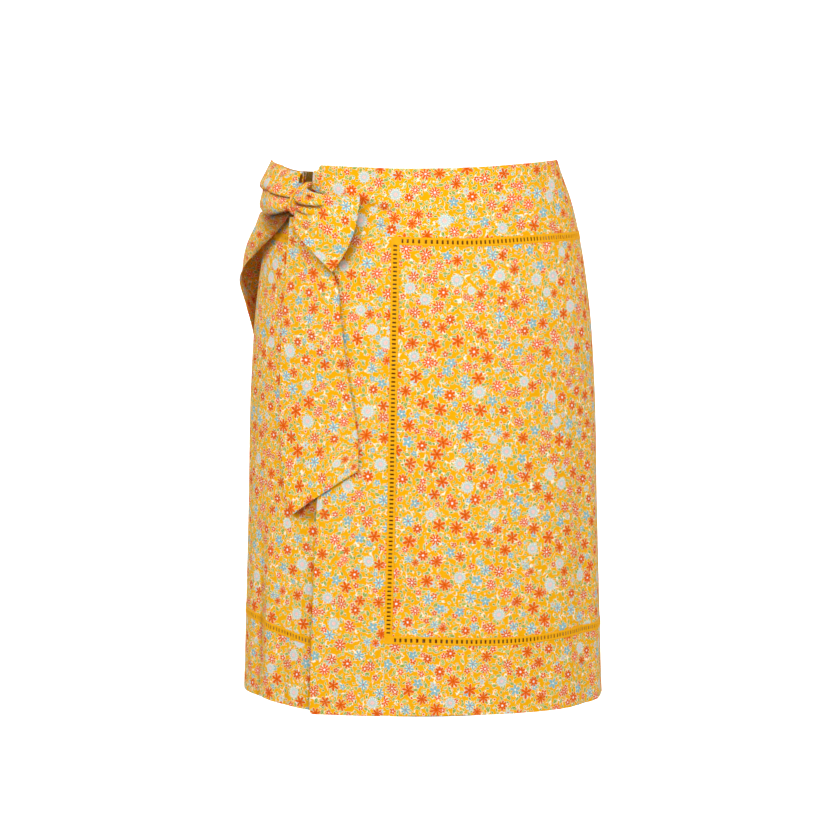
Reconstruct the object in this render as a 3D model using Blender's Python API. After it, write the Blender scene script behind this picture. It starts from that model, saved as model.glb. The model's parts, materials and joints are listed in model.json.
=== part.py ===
"""Wrap skirt in its worn, hollow form, as separate sewn pieces.

Metres, +Z up, the front faces -Y and the bow sits on the -X hip. The origin is the centre of the
waist opening. A place on the skirt is given by three numbers: "around", the angle in degrees from
centre front (negative towards the bow), the height, and "off", how far it stands outwards.
"""

import math

import bmesh
import bpy
import numpy as np

# --- Cloth -------------------------------------------------------------------------------------
WALL = 0.0012            # thickness of a single panel with its seam allowances
TIE_WALL = 0.0016        # thickness of the doubled tie cloth
SEAM_GAP = 0.0003        # gap between neighbouring pieces
LAYER_STEP = 0.0024      # how far the underlap lies inside the overlap
TRIM_WIDTH = 0.0080      # ladder trim let into the seams

# --- Girth: half width and depths of the body form at each height --------------------------------
GIRTH_COLUMNS = ("height", "half_width", "front_depth", "back_depth")
GIRTH = (
    (-0.545, 0.1806, 0.1190, 0.1370),
    (-0.340, 0.1745, 0.1195, 0.1380),
    (-0.220, 0.1713, 0.1195, 0.1400),
    (-0.140, 0.1655, 0.1175, 0.1340),
    (-0.075, 0.1556, 0.1120, 0.1210),
    (-0.040, 0.1474, 0.1065, 0.1120),
    (-0.010, 0.1368, 0.1005, 0.1040),
    (0.004, 0.1320, 0.0980, 0.0990),
)
GIRTH_ROUNDNESS = 2.2    # 2 is an ellipse, more is squarer

# --- Level lines round the skirt: height at each angle ------------------------------------------
LINE_COLUMNS = ("around", "height")
WAIST_LINE = (
    (-180, -0.0135), (-150, -0.0140), (-120, -0.0142), (-105, -0.0125), (-90, -0.0102), (-48, -0.0016),
    (-24, -0.0024), (-8, -0.0034), (18, -0.0024), (46, 0.0002), (70, 0.0014), (90, 0.0006),
    (112, -0.0055), (135, -0.0112), (180, -0.0135),
)
UNDERLAP_WAIST_LINE = ((-90, -0.0102), (-60, -0.0098), (-48, -0.0090), (-20, -0.0068), (50, -0.0040))
YOKE_LINE = (
    (-180, -0.0790), (-90, -0.0705), (-55, -0.0735), (-10, -0.0722), (15, -0.0742), (40, -0.0722),
    (90, -0.0730), (180, -0.0790),
)
HEM_BAND_LINE = (
    (-180, -0.4560), (-90, -0.4475), (-36, -0.4610), (-6, -0.4606), (27, -0.4633), (61, -0.4602),
    (90, -0.4610), (180, -0.4560),
)
HEM_LINE = (
    (-180, -0.5310), (-90, -0.5290), (-36, -0.5371), (-13, -0.5363), (10, -0.5350), (30, -0.5355),
    (60, -0.5352), (90, -0.5325), (180, -0.5310),
)
UNDERLAP_HEM_BAND_LINE = (
    (-90, -0.4475), (-75, -0.4495), (-63, -0.4530), (-51, -0.4587), (-36, -0.4661), (50, -0.4665),
)
UNDERLAP_HEM_LINE = (
    (-90, -0.5290), (-64, -0.5290), (-52, -0.5312), (-41, -0.5335), (-36, -0.5344), (50, -0.5344),
)

# --- Upright edges of the front: sideways place at each height ----------------------------------
EDGE_COLUMNS = ("height", "x")
WRAP_EDGE = ((-0.540, -0.1102), (-0.474, -0.1083), (-0.355, -0.1040), (-0.325, -0.1029), (0.004, -0.1015))
UPRIGHT_TRIM = ((-0.540, -0.0350), (-0.452, -0.0334), (-0.347, -0.0307), (-0.244, -0.0289), (0.004, -0.0252))
UNDERLAP_END_X = 0.113
UNDERLAP_SLOPE = 26.0    # degrees over which the underlap passes from the side seam to its full step
SIDE = 90.0              # angle of each side seam
SIDE_RADIUS_SHARE = 0.75 # radius of the girth beside a side seam, as a share of the half width

# --- Soft upright folds: outwards is positive ---------------------------------------------------
FOLD_COLUMNS = ("around", "half_angle", "depth", "fades_in", "full")
FRONT_FOLDS = (
    (62, 7.0, -0.0022, -0.19, -0.30),
    (72, 6.0, 0.0018, -0.22, -0.34),
    (8, 12.0, 0.0012, -0.30, -0.50),
    (-22, 9.0, -0.0009, -0.36, -0.52),
)
UNDERLAP_FOLDS = (
    (-66, 4.5, -0.0030, -0.28, -0.44),
    (-58, 4.5, 0.0022, -0.30, -0.46),
    (-47, 3.6, -0.0022, -0.42, -0.52),
)
BACK_FOLDS = (
    (-160, 9.0, 0.0030, -0.22, -0.50),
    (-143, 8.0, -0.0026, -0.26, -0.50),
    (-118, 9.0, 0.0026, -0.30, -0.52),
    (112, 8.0, -0.0028, -0.26, -0.50),
    (128, 8.0, 0.0030, -0.24, -0.50),
    (158, 9.0, -0.0026, -0.28, -0.52),
)

# --- Bow -----------------------------------------------------------------------------------------
KNOT_AROUND = -50.0
KNOT_HEIGHT = -0.0360
KNOT_HALF_WIDTH = 0.0074
KNOT_HALF_HEIGHT = 0.0148
KNOT_LEAN = 2.6          # degrees round the hip that the knot's top leans towards the front
KNOT_OFF_LOW = 0.0030
KNOT_OFF_HIGH = 0.0215
KNOT_HIP_RADIUS = 0.138  # radius of the hip at the knot, to turn a width into an angle

# Loops: outline at four reaches between the knot and the far fold, and the opening between layers.
LOOP_COLUMNS = (
    "reach", "top_around", "top_height", "middle_around", "middle_height", "low_around", "low_height",
    "off", "half_opening",
)
LOOP_RIGHT = (
    (0.00, -45.0, -0.0225, -47.0, -0.0360, -50.0, -0.0490, 0.0122, 0.0032),
    (0.35, -38.0, -0.0275, -37.5, -0.0500, -42.8, -0.0690, 0.0125, 0.0050),
    (0.70, -28.5, -0.0295, -28.5, -0.0610, -35.0, -0.0860, 0.0120, 0.0056),
    (1.00, -21.0, -0.0305, -21.3, -0.0680, -28.4, -0.1020, 0.0100, 0.0050),
)
LOOP_LEFT = (
    (0.00, -48.0, -0.0105, -53.0, -0.0320, -56.0, -0.0480, 0.0122, 0.0032),
    (0.35, -61.0, -0.0075, -64.0, -0.0310, -61.0, -0.0485, 0.0132, 0.0055),
    (0.70, -75.0, -0.0030, -78.0, -0.0290, -67.0, -0.0500, 0.0138, 0.0068),
    (1.00, -89.0, 0.0010, -87.0, -0.0280, -72.5, -0.0505, 0.0124, 0.0062),
)

# Stubs and tails: the two edges of a strip at each step along it.
STRIP_COLUMNS = (
    "step", "near_around", "near_height", "near_off", "far_around", "far_height", "far_off",
)
TIE_OVERLAP = (
    (0.0, -49.6, -0.0480, 0.0016, -46.2, -0.0190, 0.0022),
    (0.5, -44.6, -0.0580, 0.0009, -47.8, -0.0110, 0.0018),
    (1.0, -40.2, -0.0650, -0.0005, -47.9, -0.0055, -0.0005),
)
TIE_SIDE = (
    (0.0, -56.4, -0.0470, 0.0014, -53.6, -0.0240, 0.0014),
    (0.4, -66.0, -0.0540, 0.0016, -66.0, -0.0200, 0.0018),
    (1.0, -88.0, -0.0600, 0.0012, -88.0, -0.0160, 0.0012),
)
TAIL_FRONT = (
    (0.00, -54.6, -0.0520, 0.0056, -49.0, -0.0516, 0.0054),
    (0.08, -53.6, -0.0740, 0.0040, -40.0, -0.0740, 0.0038),
    (0.20, -52.8, -0.1050, 0.0024, -29.5, -0.1060, 0.0030),
    (0.36, -52.3, -0.1500, 0.0018, -25.6, -0.1520, 0.0028),
    (0.52, -51.8, -0.2000, 0.0022, -22.9, -0.2000, 0.0022),
    (0.68, -51.5, -0.2450, 0.0016, -20.4, -0.2380, 0.0018),
    (0.84, -49.6, -0.2950, 0.0013, -18.8, -0.2700, 0.0020),
    (0.93, -47.6, -0.3230, 0.0018, -18.7, -0.2840, 0.0026),
    (1.00, -44.5, -0.3420, 0.0026, -18.8, -0.2950, 0.0034),
)
TAIL_SIDE = (
    (0.00, -56.6, -0.0530, 0.0092, -59.0, -0.0490, 0.0070),
    (0.10, -62.5, -0.0680, 0.0090, -72.0, -0.0560, 0.0066),
    (0.22, -75.5, -0.0890, 0.0115, -94.0, -0.0650, 0.0066),
    (0.34, -90.0, -0.1060, 0.0185, -110.0, -0.0900, 0.0060),
    (0.42, -94.0, -0.1190, 0.0195, -117.0, -0.1180, 0.0050),
    (0.54, -98.5, -0.1470, 0.0125, -122.0, -0.1520, 0.0036),
    (0.66, -103.0, -0.1800, 0.0050, -126.0, -0.1900, 0.0024),
    (0.82, -105.5, -0.2400, 0.0022, -128.0, -0.2450, 0.0018),
    (1.00, -106.5, -0.2900, 0.0020, -127.0, -0.3180, 0.0018),
)
LOOP_GATHER = 0.0011     # height of the gathers beside the knot
LOOP_GATHER_COUNT = 2.5

# --- How finely the pieces are divided ----------------------------------------------------------
COLUMN_ANGLE = 4.1       # degrees round the skirt
MIDDLE_HEIGHT = -0.27    # height at which a piece's columns are counted
EDGE_PASSES = 3          # rounds in which sloping edges and level lines settle on each other
MAIN_ROWS = 9
YOKE_ROWS = 3
HEM_ROWS = 2

PRINT_COLOUR = (0.93, 0.55, 0.12, 1.0)
TRIM_COLOUR = (0.93, 0.60, 0.03, 1.0)


def column(rows, names, name, at):
    """Value of one named column at places along the first column, on a smooth curve."""
    keys = np.array([row[0] for row in rows], dtype=float)
    values = np.array([row[names.index(name)] for row in rows], dtype=float)
    slopes = np.gradient(values, keys)
    place = np.clip(at, keys[0], keys[-1])
    span = np.clip(np.searchsorted(keys, place) - 1, 0, len(keys) - 2)
    length = keys[span + 1] - keys[span]
    t = (place - keys[span]) / length
    start = (2 * t ** 3 - 3 * t ** 2 + 1) * values[span] + (t ** 3 - 2 * t ** 2 + t) * length * slopes[span]
    end = (3 * t ** 2 - 2 * t ** 3) * values[span + 1] + (t ** 3 - t ** 2) * length * slopes[span + 1]
    return start + end


def ease(value):
    """Smooth step from 0 to 1."""
    t = np.clip(value, 0.0, 1.0)
    return t * t * (3.0 - 2.0 * t)


def signed_power(value, power):
    """Power of the size of a number, with its sign kept."""
    return np.sign(value) * np.abs(value) ** power


def on_skirt(around, height, off):
    """Points on the skirt's form at an angle in degrees and a height, moved outwards by off."""
    angle = np.radians(around)
    half_width = column(GIRTH, GIRTH_COLUMNS, "half_width", height)
    front = column(GIRTH, GIRTH_COLUMNS, "front_depth", height)
    back = column(GIRTH, GIRTH_COLUMNS, "back_depth", height)
    depth = np.where(np.cos(angle) >= 0.0, front, back)
    side = signed_power(np.sin(angle), 2.0 / GIRTH_ROUNDNESS)
    forward = signed_power(-np.cos(angle), 2.0 / GIRTH_ROUNDNESS)
    out_x = signed_power(side, GIRTH_ROUNDNESS - 1.0) / half_width
    out_y = signed_power(forward, GIRTH_ROUNDNESS - 1.0) / depth
    length = np.hypot(out_x, out_y)
    x = half_width * side + off * out_x / length
    y = depth * forward + off * out_y / length
    return np.stack([x, y, height + 0.0 * x], axis=-1)


def around_at(x, height):
    """Angle in degrees of the point on the front that has the given x."""
    half_width = column(GIRTH, GIRTH_COLUMNS, "half_width", height)
    return np.degrees(np.arcsin(signed_power(x / half_width, GIRTH_ROUNDNESS / 2.0)))


def folds(rows, around, height):
    """Outward movement of a set of soft upright folds."""
    total = np.zeros_like(around)
    for middle, half_angle, depth, fades_in, full in rows:
        across = np.exp(-((around - middle) / half_angle) ** 2)
        down = ease((fades_in - height) / (fades_in - full))
        total = total + depth * across * down
    return total


def front_off(around, height):
    """Outer face of the overlap."""
    return folds(FRONT_FOLDS, around, height)


def back_off(around, height):
    """Outer face of the back; the angle runs past 180 degrees to the left side seam."""
    turned = np.where(around > 180.0, around - 360.0, around)
    return folds(BACK_FOLDS, turned, height)


def underlap_off(around, height):
    """Outer face of the underlap, which passes inside the overlap beyond the left side seam."""
    inside = ease((around + SIDE) / UNDERLAP_SLOPE)
    return front_off(around, height) * inside + folds(UNDERLAP_FOLDS, around, height) - LAYER_STEP * inside


def line(rows, shift=0.0):
    """Level line as a function of the angle, moved up or down by a shift."""
    def height_at(around):
        turned = np.where(around > 180.0, around - 360.0, around)
        return column(rows, LINE_COLUMNS, "height", turned) + shift
    return height_at


def seam_at(angle, towards):
    """Upright edge at one angle, held back by half a seam gap; towards is +1 or -1."""
    def around_of(height):
        half_width = column(GIRTH, GIRTH_COLUMNS, "half_width", height)
        return angle + towards * np.degrees(0.5 * SEAM_GAP / (SIDE_RADIUS_SHARE * half_width))
    return around_of


def edge_at(rows, shift=0.0):
    """Upright edge that follows a table of x places, moved sideways by a shift."""
    def around_of(height):
        return around_at(column(rows, EDGE_COLUMNS, "x", height) + shift, height)
    return around_of


def underlap_end(height):
    """Hidden inner edge of the underlap."""
    return around_at(UNDERLAP_END_X + 0.0 * height, height)


def knot_edge(height, side):
    """Angle of the knot's side at a height; side is -1 or +1, and the seam gap is added."""
    up = np.clip((height - KNOT_HEIGHT) / KNOT_HALF_HEIGHT, -1.0, 1.0)
    width = KNOT_HALF_WIDTH * (1.0 - np.abs(up) ** 3) ** (1 / 3) + SEAM_GAP
    return KNOT_AROUND + KNOT_LEAN * up + side * np.degrees(width / KNOT_HIP_RADIUS)


def make_material(name, colour, roughness):
    """Principled material of one piece."""
    material = bpy.data.materials.new(name)
    material.use_nodes = True
    shader = material.node_tree.nodes["Principled BSDF"]
    shader.inputs["Base Color"].default_value = colour
    shader.inputs["Roughness"].default_value = roughness
    shader.inputs["Metallic"].default_value = 0.0
    material.diffuse_color = colour
    return material


def closed_wall(name, outer, inner, colour, roughness=0.85):
    """Closed solid between an outer and an inner grid of points of the same size."""
    rows, columns = outer.shape[:2]
    mesh = bmesh.new()
    outside = [[mesh.verts.new(point) for point in row] for row in outer.tolist()]
    inside = [[mesh.verts.new(point) for point in row] for row in inner.tolist()]
    for i in range(rows - 1):
        for j in range(columns - 1):
            for a, b, c in (((i, j), (i + 1, j), (i + 1, j + 1)), ((i, j), (i + 1, j + 1), (i, j + 1))):
                mesh.faces.new([outside[a[0]][a[1]], outside[b[0]][b[1]], outside[c[0]][c[1]]])
                mesh.faces.new([inside[c[0]][c[1]], inside[b[0]][b[1]], inside[a[0]][a[1]]])
    rim = [(0, j) for j in range(columns)]
    rim += [(i, columns - 1) for i in range(1, rows)]
    rim += [(rows - 1, j) for j in range(columns - 2, -1, -1)]
    rim += [(i, 0) for i in range(rows - 2, 0, -1)]
    for (i, j), (k, m) in zip(rim, rim[1:] + rim[:1]):
        mesh.faces.new([outside[i][j], outside[k][m], inside[k][m]])
        mesh.faces.new([outside[i][j], inside[k][m], inside[i][j]])
    bmesh.ops.recalc_face_normals(mesh, faces=mesh.faces[:])
    data = bpy.data.meshes.new(name)
    mesh.to_mesh(data)
    mesh.free()
    data.shade_smooth()
    data.set_sharp_from_angle(angle=math.radians(50))
    data.materials.append(make_material(name, colour, roughness))
    piece = bpy.data.objects.new(name, data)
    bpy.context.scene.collection.objects.link(piece)
    return piece


def panel(name, left, right, top, bottom, off_at, rows, colour=PRINT_COLOUR):
    """Piece of the skirt between two upright edges and two level lines, as a wall."""
    middle = np.array([MIDDLE_HEIGHT])
    columns = max(1, round(float((right(middle) - left(middle))[0]) / COLUMN_ANGLE))
    u, v = np.meshgrid(np.linspace(0, 1, columns + 1), np.linspace(0, 1, rows + 1))
    height = 2 * MIDDLE_HEIGHT * v
    for _ in range(EDGE_PASSES):
        around = left(height) * (1 - u) + right(height) * u
        height = top(around) * (1 - v) + bottom(around) * v
    off = off_at(around, height)
    return closed_wall(name, on_skirt(around, height, off), on_skirt(around, height, off - WALL), colour)


def sheet_normals(points):
    """Unit normals of a grid of points."""
    down = np.gradient(points, axis=0)
    across = np.gradient(points, axis=1)
    normal = np.cross(down, across)
    return normal / np.linalg.norm(normal, axis=-1, keepdims=True)


def thick_sheet(name, points, thickness, colour=PRINT_COLOUR):
    """Free piece of cloth: a grid of points given a thickness along its own normals."""
    half = 0.5 * thickness * sheet_normals(points)
    return closed_wall(name, points + half, points - half, colour)


def strip(name, rows, steps, across, end_edge=None):
    """Strip of tie cloth between its near and far edges; its last step may meet an upright edge."""
    s, t = np.meshgrid(np.linspace(0, 1, steps + 1), np.linspace(0, 1, across + 1), indexing="ij")
    value = {key: column(rows, STRIP_COLUMNS, key, s) for key in STRIP_COLUMNS[1:]}
    around = value["near_around"] * (1 - t) + value["far_around"] * t
    height = value["near_height"] * (1 - t) + value["far_height"] * t
    off = value["near_off"] * (1 - t) + value["far_off"] * t
    if end_edge:
        last = np.clip((s - rows[-2][0]) / (rows[-1][0] - rows[-2][0]), 0, 1)
        around = around * (1 - last) + end_edge(height) * last
    return thick_sheet(name, on_skirt(around, height, off + front_off(around, height)), TIE_WALL)


def loop(name, rows, side, steps, across):
    """Bow loop: the tie runs out from the knot, folds over at its far end and runs back beneath."""
    turn, t = np.meshgrid(np.linspace(0, math.pi, steps + 1), np.linspace(0, 1, across + 1), indexing="ij")
    reach = np.sin(turn)
    value = {key: column(rows, LOOP_COLUMNS, key, reach) for key in LOOP_COLUMNS[1:]}
    top, middle, low = (1 - t) * (1 - 2 * t), 4 * t * (1 - t), t * (2 * t - 1)
    around = top * value["top_around"] + middle * value["middle_around"] + low * value["low_around"]
    height = top * value["top_height"] + middle * value["middle_height"] + low * value["low_height"]
    root = np.clip(1 - reach / rows[1][0], 0, 1)
    around = around * (1 - root) + knot_edge(height, side) * root
    gathers = LOOP_GATHER * np.cos(2 * math.pi * LOOP_GATHER_COUNT * t) * (1 - reach) * (turn < math.pi / 2)
    off = value["off"] + value["half_opening"] * np.cos(turn) + gathers
    return thick_sheet(name, on_skirt(around, height, off), TIE_WALL)


def knot(name, steps, sides):
    """Knot: a rounded pillow wrapped over the ties, closed at its upper and lower ends."""
    data = bpy.data.meshes.new(name)
    mesh = bmesh.new()
    bmesh.ops.create_uvsphere(mesh, u_segments=sides, v_segments=steps, radius=1.0)
    across, out, up = np.array([vert.co for vert in mesh.verts]).T
    waist = np.sqrt(np.maximum(1.0 - up ** 2, 1e-9))
    barrel = (1.0 - np.abs(up) ** 3) ** (1 / 3) / waist
    width = KNOT_HALF_WIDTH * across * barrel
    off = 0.5 * (KNOT_OFF_LOW + KNOT_OFF_HIGH) + 0.5 * (KNOT_OFF_HIGH - KNOT_OFF_LOW) * out * barrel
    around = KNOT_AROUND + KNOT_LEAN * up + np.degrees(width / KNOT_HIP_RADIUS)
    points = on_skirt(around, KNOT_HEIGHT + KNOT_HALF_HEIGHT * up, off)
    for vert, point in zip(mesh.verts, points.tolist()):
        vert.co = point
    bmesh.ops.triangulate(mesh, faces=mesh.faces[:])
    bmesh.ops.recalc_face_normals(mesh, faces=mesh.faces[:])
    mesh.to_mesh(data)
    mesh.free()
    data.shade_smooth()
    data.materials.append(make_material(name, PRINT_COLOUR, 0.85))
    piece = bpy.data.objects.new(name, data)
    bpy.context.scene.collection.objects.link(piece)
    return piece


def front_pieces():
    """Overlap: yoke, border band, main panel, hem band and the trims between them."""
    half = 0.5 * TRIM_WIDTH
    free_edge = edge_at(WRAP_EDGE)
    side = seam_at(SIDE, -1)
    band_edge = edge_at(UPRIGHT_TRIM, -half - SEAM_GAP)
    trim_left = edge_at(UPRIGHT_TRIM, -half)
    trim_right = edge_at(UPRIGHT_TRIM, half)
    panel_edge = edge_at(UPRIGHT_TRIM, half + SEAM_GAP)
    yoke_bottom = line(YOKE_LINE, half + SEAM_GAP)
    yoke_trim = line(YOKE_LINE, half), line(YOKE_LINE, -half)
    panel_top = line(YOKE_LINE, -half - SEAM_GAP)
    panel_bottom = line(HEM_BAND_LINE, half + SEAM_GAP)
    hem_trim = line(HEM_BAND_LINE, half), line(HEM_BAND_LINE, -half)
    hem_top = line(HEM_BAND_LINE, -half - SEAM_GAP)
    hem = line(HEM_LINE)
    panel("yoke_overlap", free_edge, side, line(WAIST_LINE), yoke_bottom, front_off, YOKE_ROWS)
    panel("trim_yoke_front", trim_left, side, *yoke_trim, front_off, 1, TRIM_COLOUR)
    panel("front_band", free_edge, band_edge, yoke_trim[0], hem, front_off, MAIN_ROWS + HEM_ROWS)
    panel("trim_front_vertical", trim_left, trim_right, panel_top, panel_bottom, front_off, MAIN_ROWS,
          TRIM_COLOUR)
    panel("front_panel", panel_edge, side, panel_top, panel_bottom, front_off, MAIN_ROWS)
    panel("trim_hem_front", trim_left, side, *hem_trim, front_off, 1, TRIM_COLOUR)
    panel("hem_band_front", trim_left, side, hem_top, hem, front_off, HEM_ROWS)


def ring_pieces(ending, left, right, lines, off_at):
    """Yoke, panel, hem band and both trims of the back or the underlap, between two upright edges."""
    half = 0.5 * TRIM_WIDTH
    waist, yoke, hem_band, hem = lines
    panel("yoke_" + ending, left, right, line(waist), line(yoke, half + SEAM_GAP), off_at, YOKE_ROWS)
    panel("trim_yoke_" + ending, left, right, line(yoke, half), line(yoke, -half), off_at, 1, TRIM_COLOUR)
    panel(ending + "_panel", left, right, line(yoke, -half - SEAM_GAP), line(hem_band, half + SEAM_GAP),
          off_at, MAIN_ROWS)
    panel("trim_hem_" + ending, left, right, line(hem_band, half), line(hem_band, -half), off_at, 1,
          TRIM_COLOUR)
    panel("hem_band_" + ending, left, right, line(hem_band, -half - SEAM_GAP), line(hem), off_at, HEM_ROWS)


def back_pieces():
    """Back, from the right side seam round to the left one."""
    lines = WAIST_LINE, YOKE_LINE, HEM_BAND_LINE, HEM_LINE
    ring_pieces("back", seam_at(SIDE, 1), seam_at(360.0 - SIDE, -1), lines, back_off)


def underlap_pieces():
    """Underlap, from the left side seam in under the overlap to a plain hidden edge."""
    lines = UNDERLAP_WAIST_LINE, YOKE_LINE, UNDERLAP_HEM_BAND_LINE, UNDERLAP_HEM_LINE
    ring_pieces("underlap", seam_at(-SIDE, 1), underlap_end, lines, underlap_off)


def bow_pieces():
    """Bow on the hip: stubs of both ties, knot, two loops and two tails."""
    strip("tie_overlap", TIE_OVERLAP, 4, 4, edge_at(WRAP_EDGE, -2 * SEAM_GAP))
    strip("tie_side", TIE_SIDE, 8, 4)
    strip("tail_front", TAIL_FRONT, 16, 6)
    strip("tail_side", TAIL_SIDE, 18, 5)
    loop("bow_loop_right", LOOP_RIGHT, 1, 18, 7)
    loop("bow_loop_left", LOOP_LEFT, -1, 18, 7)
    knot("bow_knot", 8, 12)


def main():
    """Clear the scene and build every piece."""
    for thing in list(bpy.data.objects):
        bpy.data.objects.remove(thing, do_unlink=True)
    front_pieces()
    back_pieces()
    underlap_pieces()
    bow_pieces()


main()
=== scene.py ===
"""Wrap skirt in printed cotton lawn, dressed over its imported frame.

Metres, +Z up, the front faces -Y and the bow sits on the -X hip. A place on the skirt is given by
"around", the angle in degrees from centre front (negative towards the bow), the height, and "off",
how far it stands outwards. Every piece of cloth is a closed shell worked out on a grid of two
parameters: rows run down the piece and columns run round the skirt.
"""

from __future__ import annotations

import json
import logging
import math
from collections.abc import Callable, Iterable, Mapping, Sequence
from dataclasses import dataclass, field
from enum import Enum
from typing import Any

import bpy
import numpy as np
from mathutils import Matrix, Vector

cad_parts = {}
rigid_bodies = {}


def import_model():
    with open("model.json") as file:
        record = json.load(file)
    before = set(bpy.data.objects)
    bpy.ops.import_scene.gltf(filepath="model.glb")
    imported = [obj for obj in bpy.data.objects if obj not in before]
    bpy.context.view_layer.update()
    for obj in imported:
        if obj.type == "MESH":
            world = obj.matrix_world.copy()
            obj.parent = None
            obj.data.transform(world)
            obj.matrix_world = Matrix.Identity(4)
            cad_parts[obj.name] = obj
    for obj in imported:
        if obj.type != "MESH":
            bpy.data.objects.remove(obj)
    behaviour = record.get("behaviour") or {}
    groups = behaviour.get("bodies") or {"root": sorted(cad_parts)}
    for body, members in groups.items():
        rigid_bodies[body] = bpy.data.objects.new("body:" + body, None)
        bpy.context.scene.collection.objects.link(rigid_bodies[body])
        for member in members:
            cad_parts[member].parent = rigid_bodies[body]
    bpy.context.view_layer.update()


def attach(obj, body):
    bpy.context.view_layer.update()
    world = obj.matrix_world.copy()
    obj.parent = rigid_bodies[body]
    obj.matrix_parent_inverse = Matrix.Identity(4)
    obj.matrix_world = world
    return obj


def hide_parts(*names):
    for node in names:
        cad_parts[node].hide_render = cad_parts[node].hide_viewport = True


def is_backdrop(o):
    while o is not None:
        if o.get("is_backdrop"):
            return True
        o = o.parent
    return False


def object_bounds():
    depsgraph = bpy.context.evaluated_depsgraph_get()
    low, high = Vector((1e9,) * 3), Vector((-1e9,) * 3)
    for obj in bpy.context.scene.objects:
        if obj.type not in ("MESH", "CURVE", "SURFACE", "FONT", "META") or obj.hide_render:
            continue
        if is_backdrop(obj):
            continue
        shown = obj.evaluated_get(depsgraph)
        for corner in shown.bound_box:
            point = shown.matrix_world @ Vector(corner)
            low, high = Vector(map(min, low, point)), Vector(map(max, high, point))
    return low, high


LOG = logging.getLogger("wrap_skirt")

Array = np.ndarray
Colour = tuple[float, float, float, float]
Material = bpy.types.Material
Piece = bpy.types.Object
Pair = tuple[float, float]
Triple = tuple[float, float, float]
Rows = tuple[tuple[float, ...], ...]
Places = tuple[Array, Array]
Edge = Callable[[Array], Array]
ReliefAt = Callable[[Array, Array], Array]

MM = 0.001


class Side(Enum):
    """Which way a bow loop reaches from the knot."""

    HIP = -1
    FRONT = 1


class Held(Enum):
    """How a piece of cloth is held."""

    HUNG = "hung"
    FOLDED = "folded"
    GATHERED = "gathered"


class Slot(Enum):
    """Material slots of the part."""

    PRINT = "printed_cotton"
    TRIM = "ladder_trim"


# ---- Sizes ----


@dataclass(frozen=True)
class Table:
    """Rows of numbers under named columns, read as smooth curves along the first column."""

    names: tuple[str, ...]
    rows: Rows

    def at(self, name: str, places: Array) -> Array:
        """Value of a column at places along the first one.

        Formula: a cubic Hermite curve through the rows, whose slope at each row is the central
        difference of its neighbours.

        Args:
            name: the column to read.
            places: places along the first column, held within its ends.

        Returns:
            One value for each place.
        """
        keys = np.array([row[0] for row in self.rows], dtype=float)
        values = np.array([row[self.names.index(name)] for row in self.rows], dtype=float)
        slopes = np.gradient(values, keys)
        place = np.clip(places, keys[0], keys[-1])
        span = np.clip(np.searchsorted(keys, place) - 1, 0, len(keys) - 2)
        length = keys[span + 1] - keys[span]
        t = (place - keys[span]) / length
        start = (2 * t**3 - 3 * t**2 + 1) * values[span] + (t**3 - 2 * t**2 + t) * length * slopes[span]
        end = (3 * t**2 - 2 * t**3) * values[span + 1] + (t**3 - t**2) * length * slopes[span + 1]
        return start + end


def ease(value: Array) -> Array:
    """Smooth step from 0 to 1."""
    t = np.clip(value, 0.0, 1.0)
    return t * t * (3.0 - 2.0 * t)


def signed_power(value: Array, power: float) -> Array:
    """Power of the size of a number, with its sign kept."""
    return np.sign(value) * np.abs(value) ** power


def even_grid(rows: Array, columns: Array) -> Places:
    """Two grids that hold each row's number and each column's."""
    return tuple(np.meshgrid(rows, columns, indexing="ij"))


def running(lengths: Array) -> Array:
    """Running total of lengths, which starts at 0."""
    return np.concatenate([[0.0], np.cumsum(lengths)])


def unit(vectors: Array) -> Array:
    """Vectors of length 1 the same way."""
    return vectors / np.linalg.norm(vectors, axis=-1, keepdims=True)


def turned(around: Array) -> Array:
    """Angle brought back to the range that ends at 180 degrees."""
    return np.where(around > 180.0, around - 360.0, around)


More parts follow.
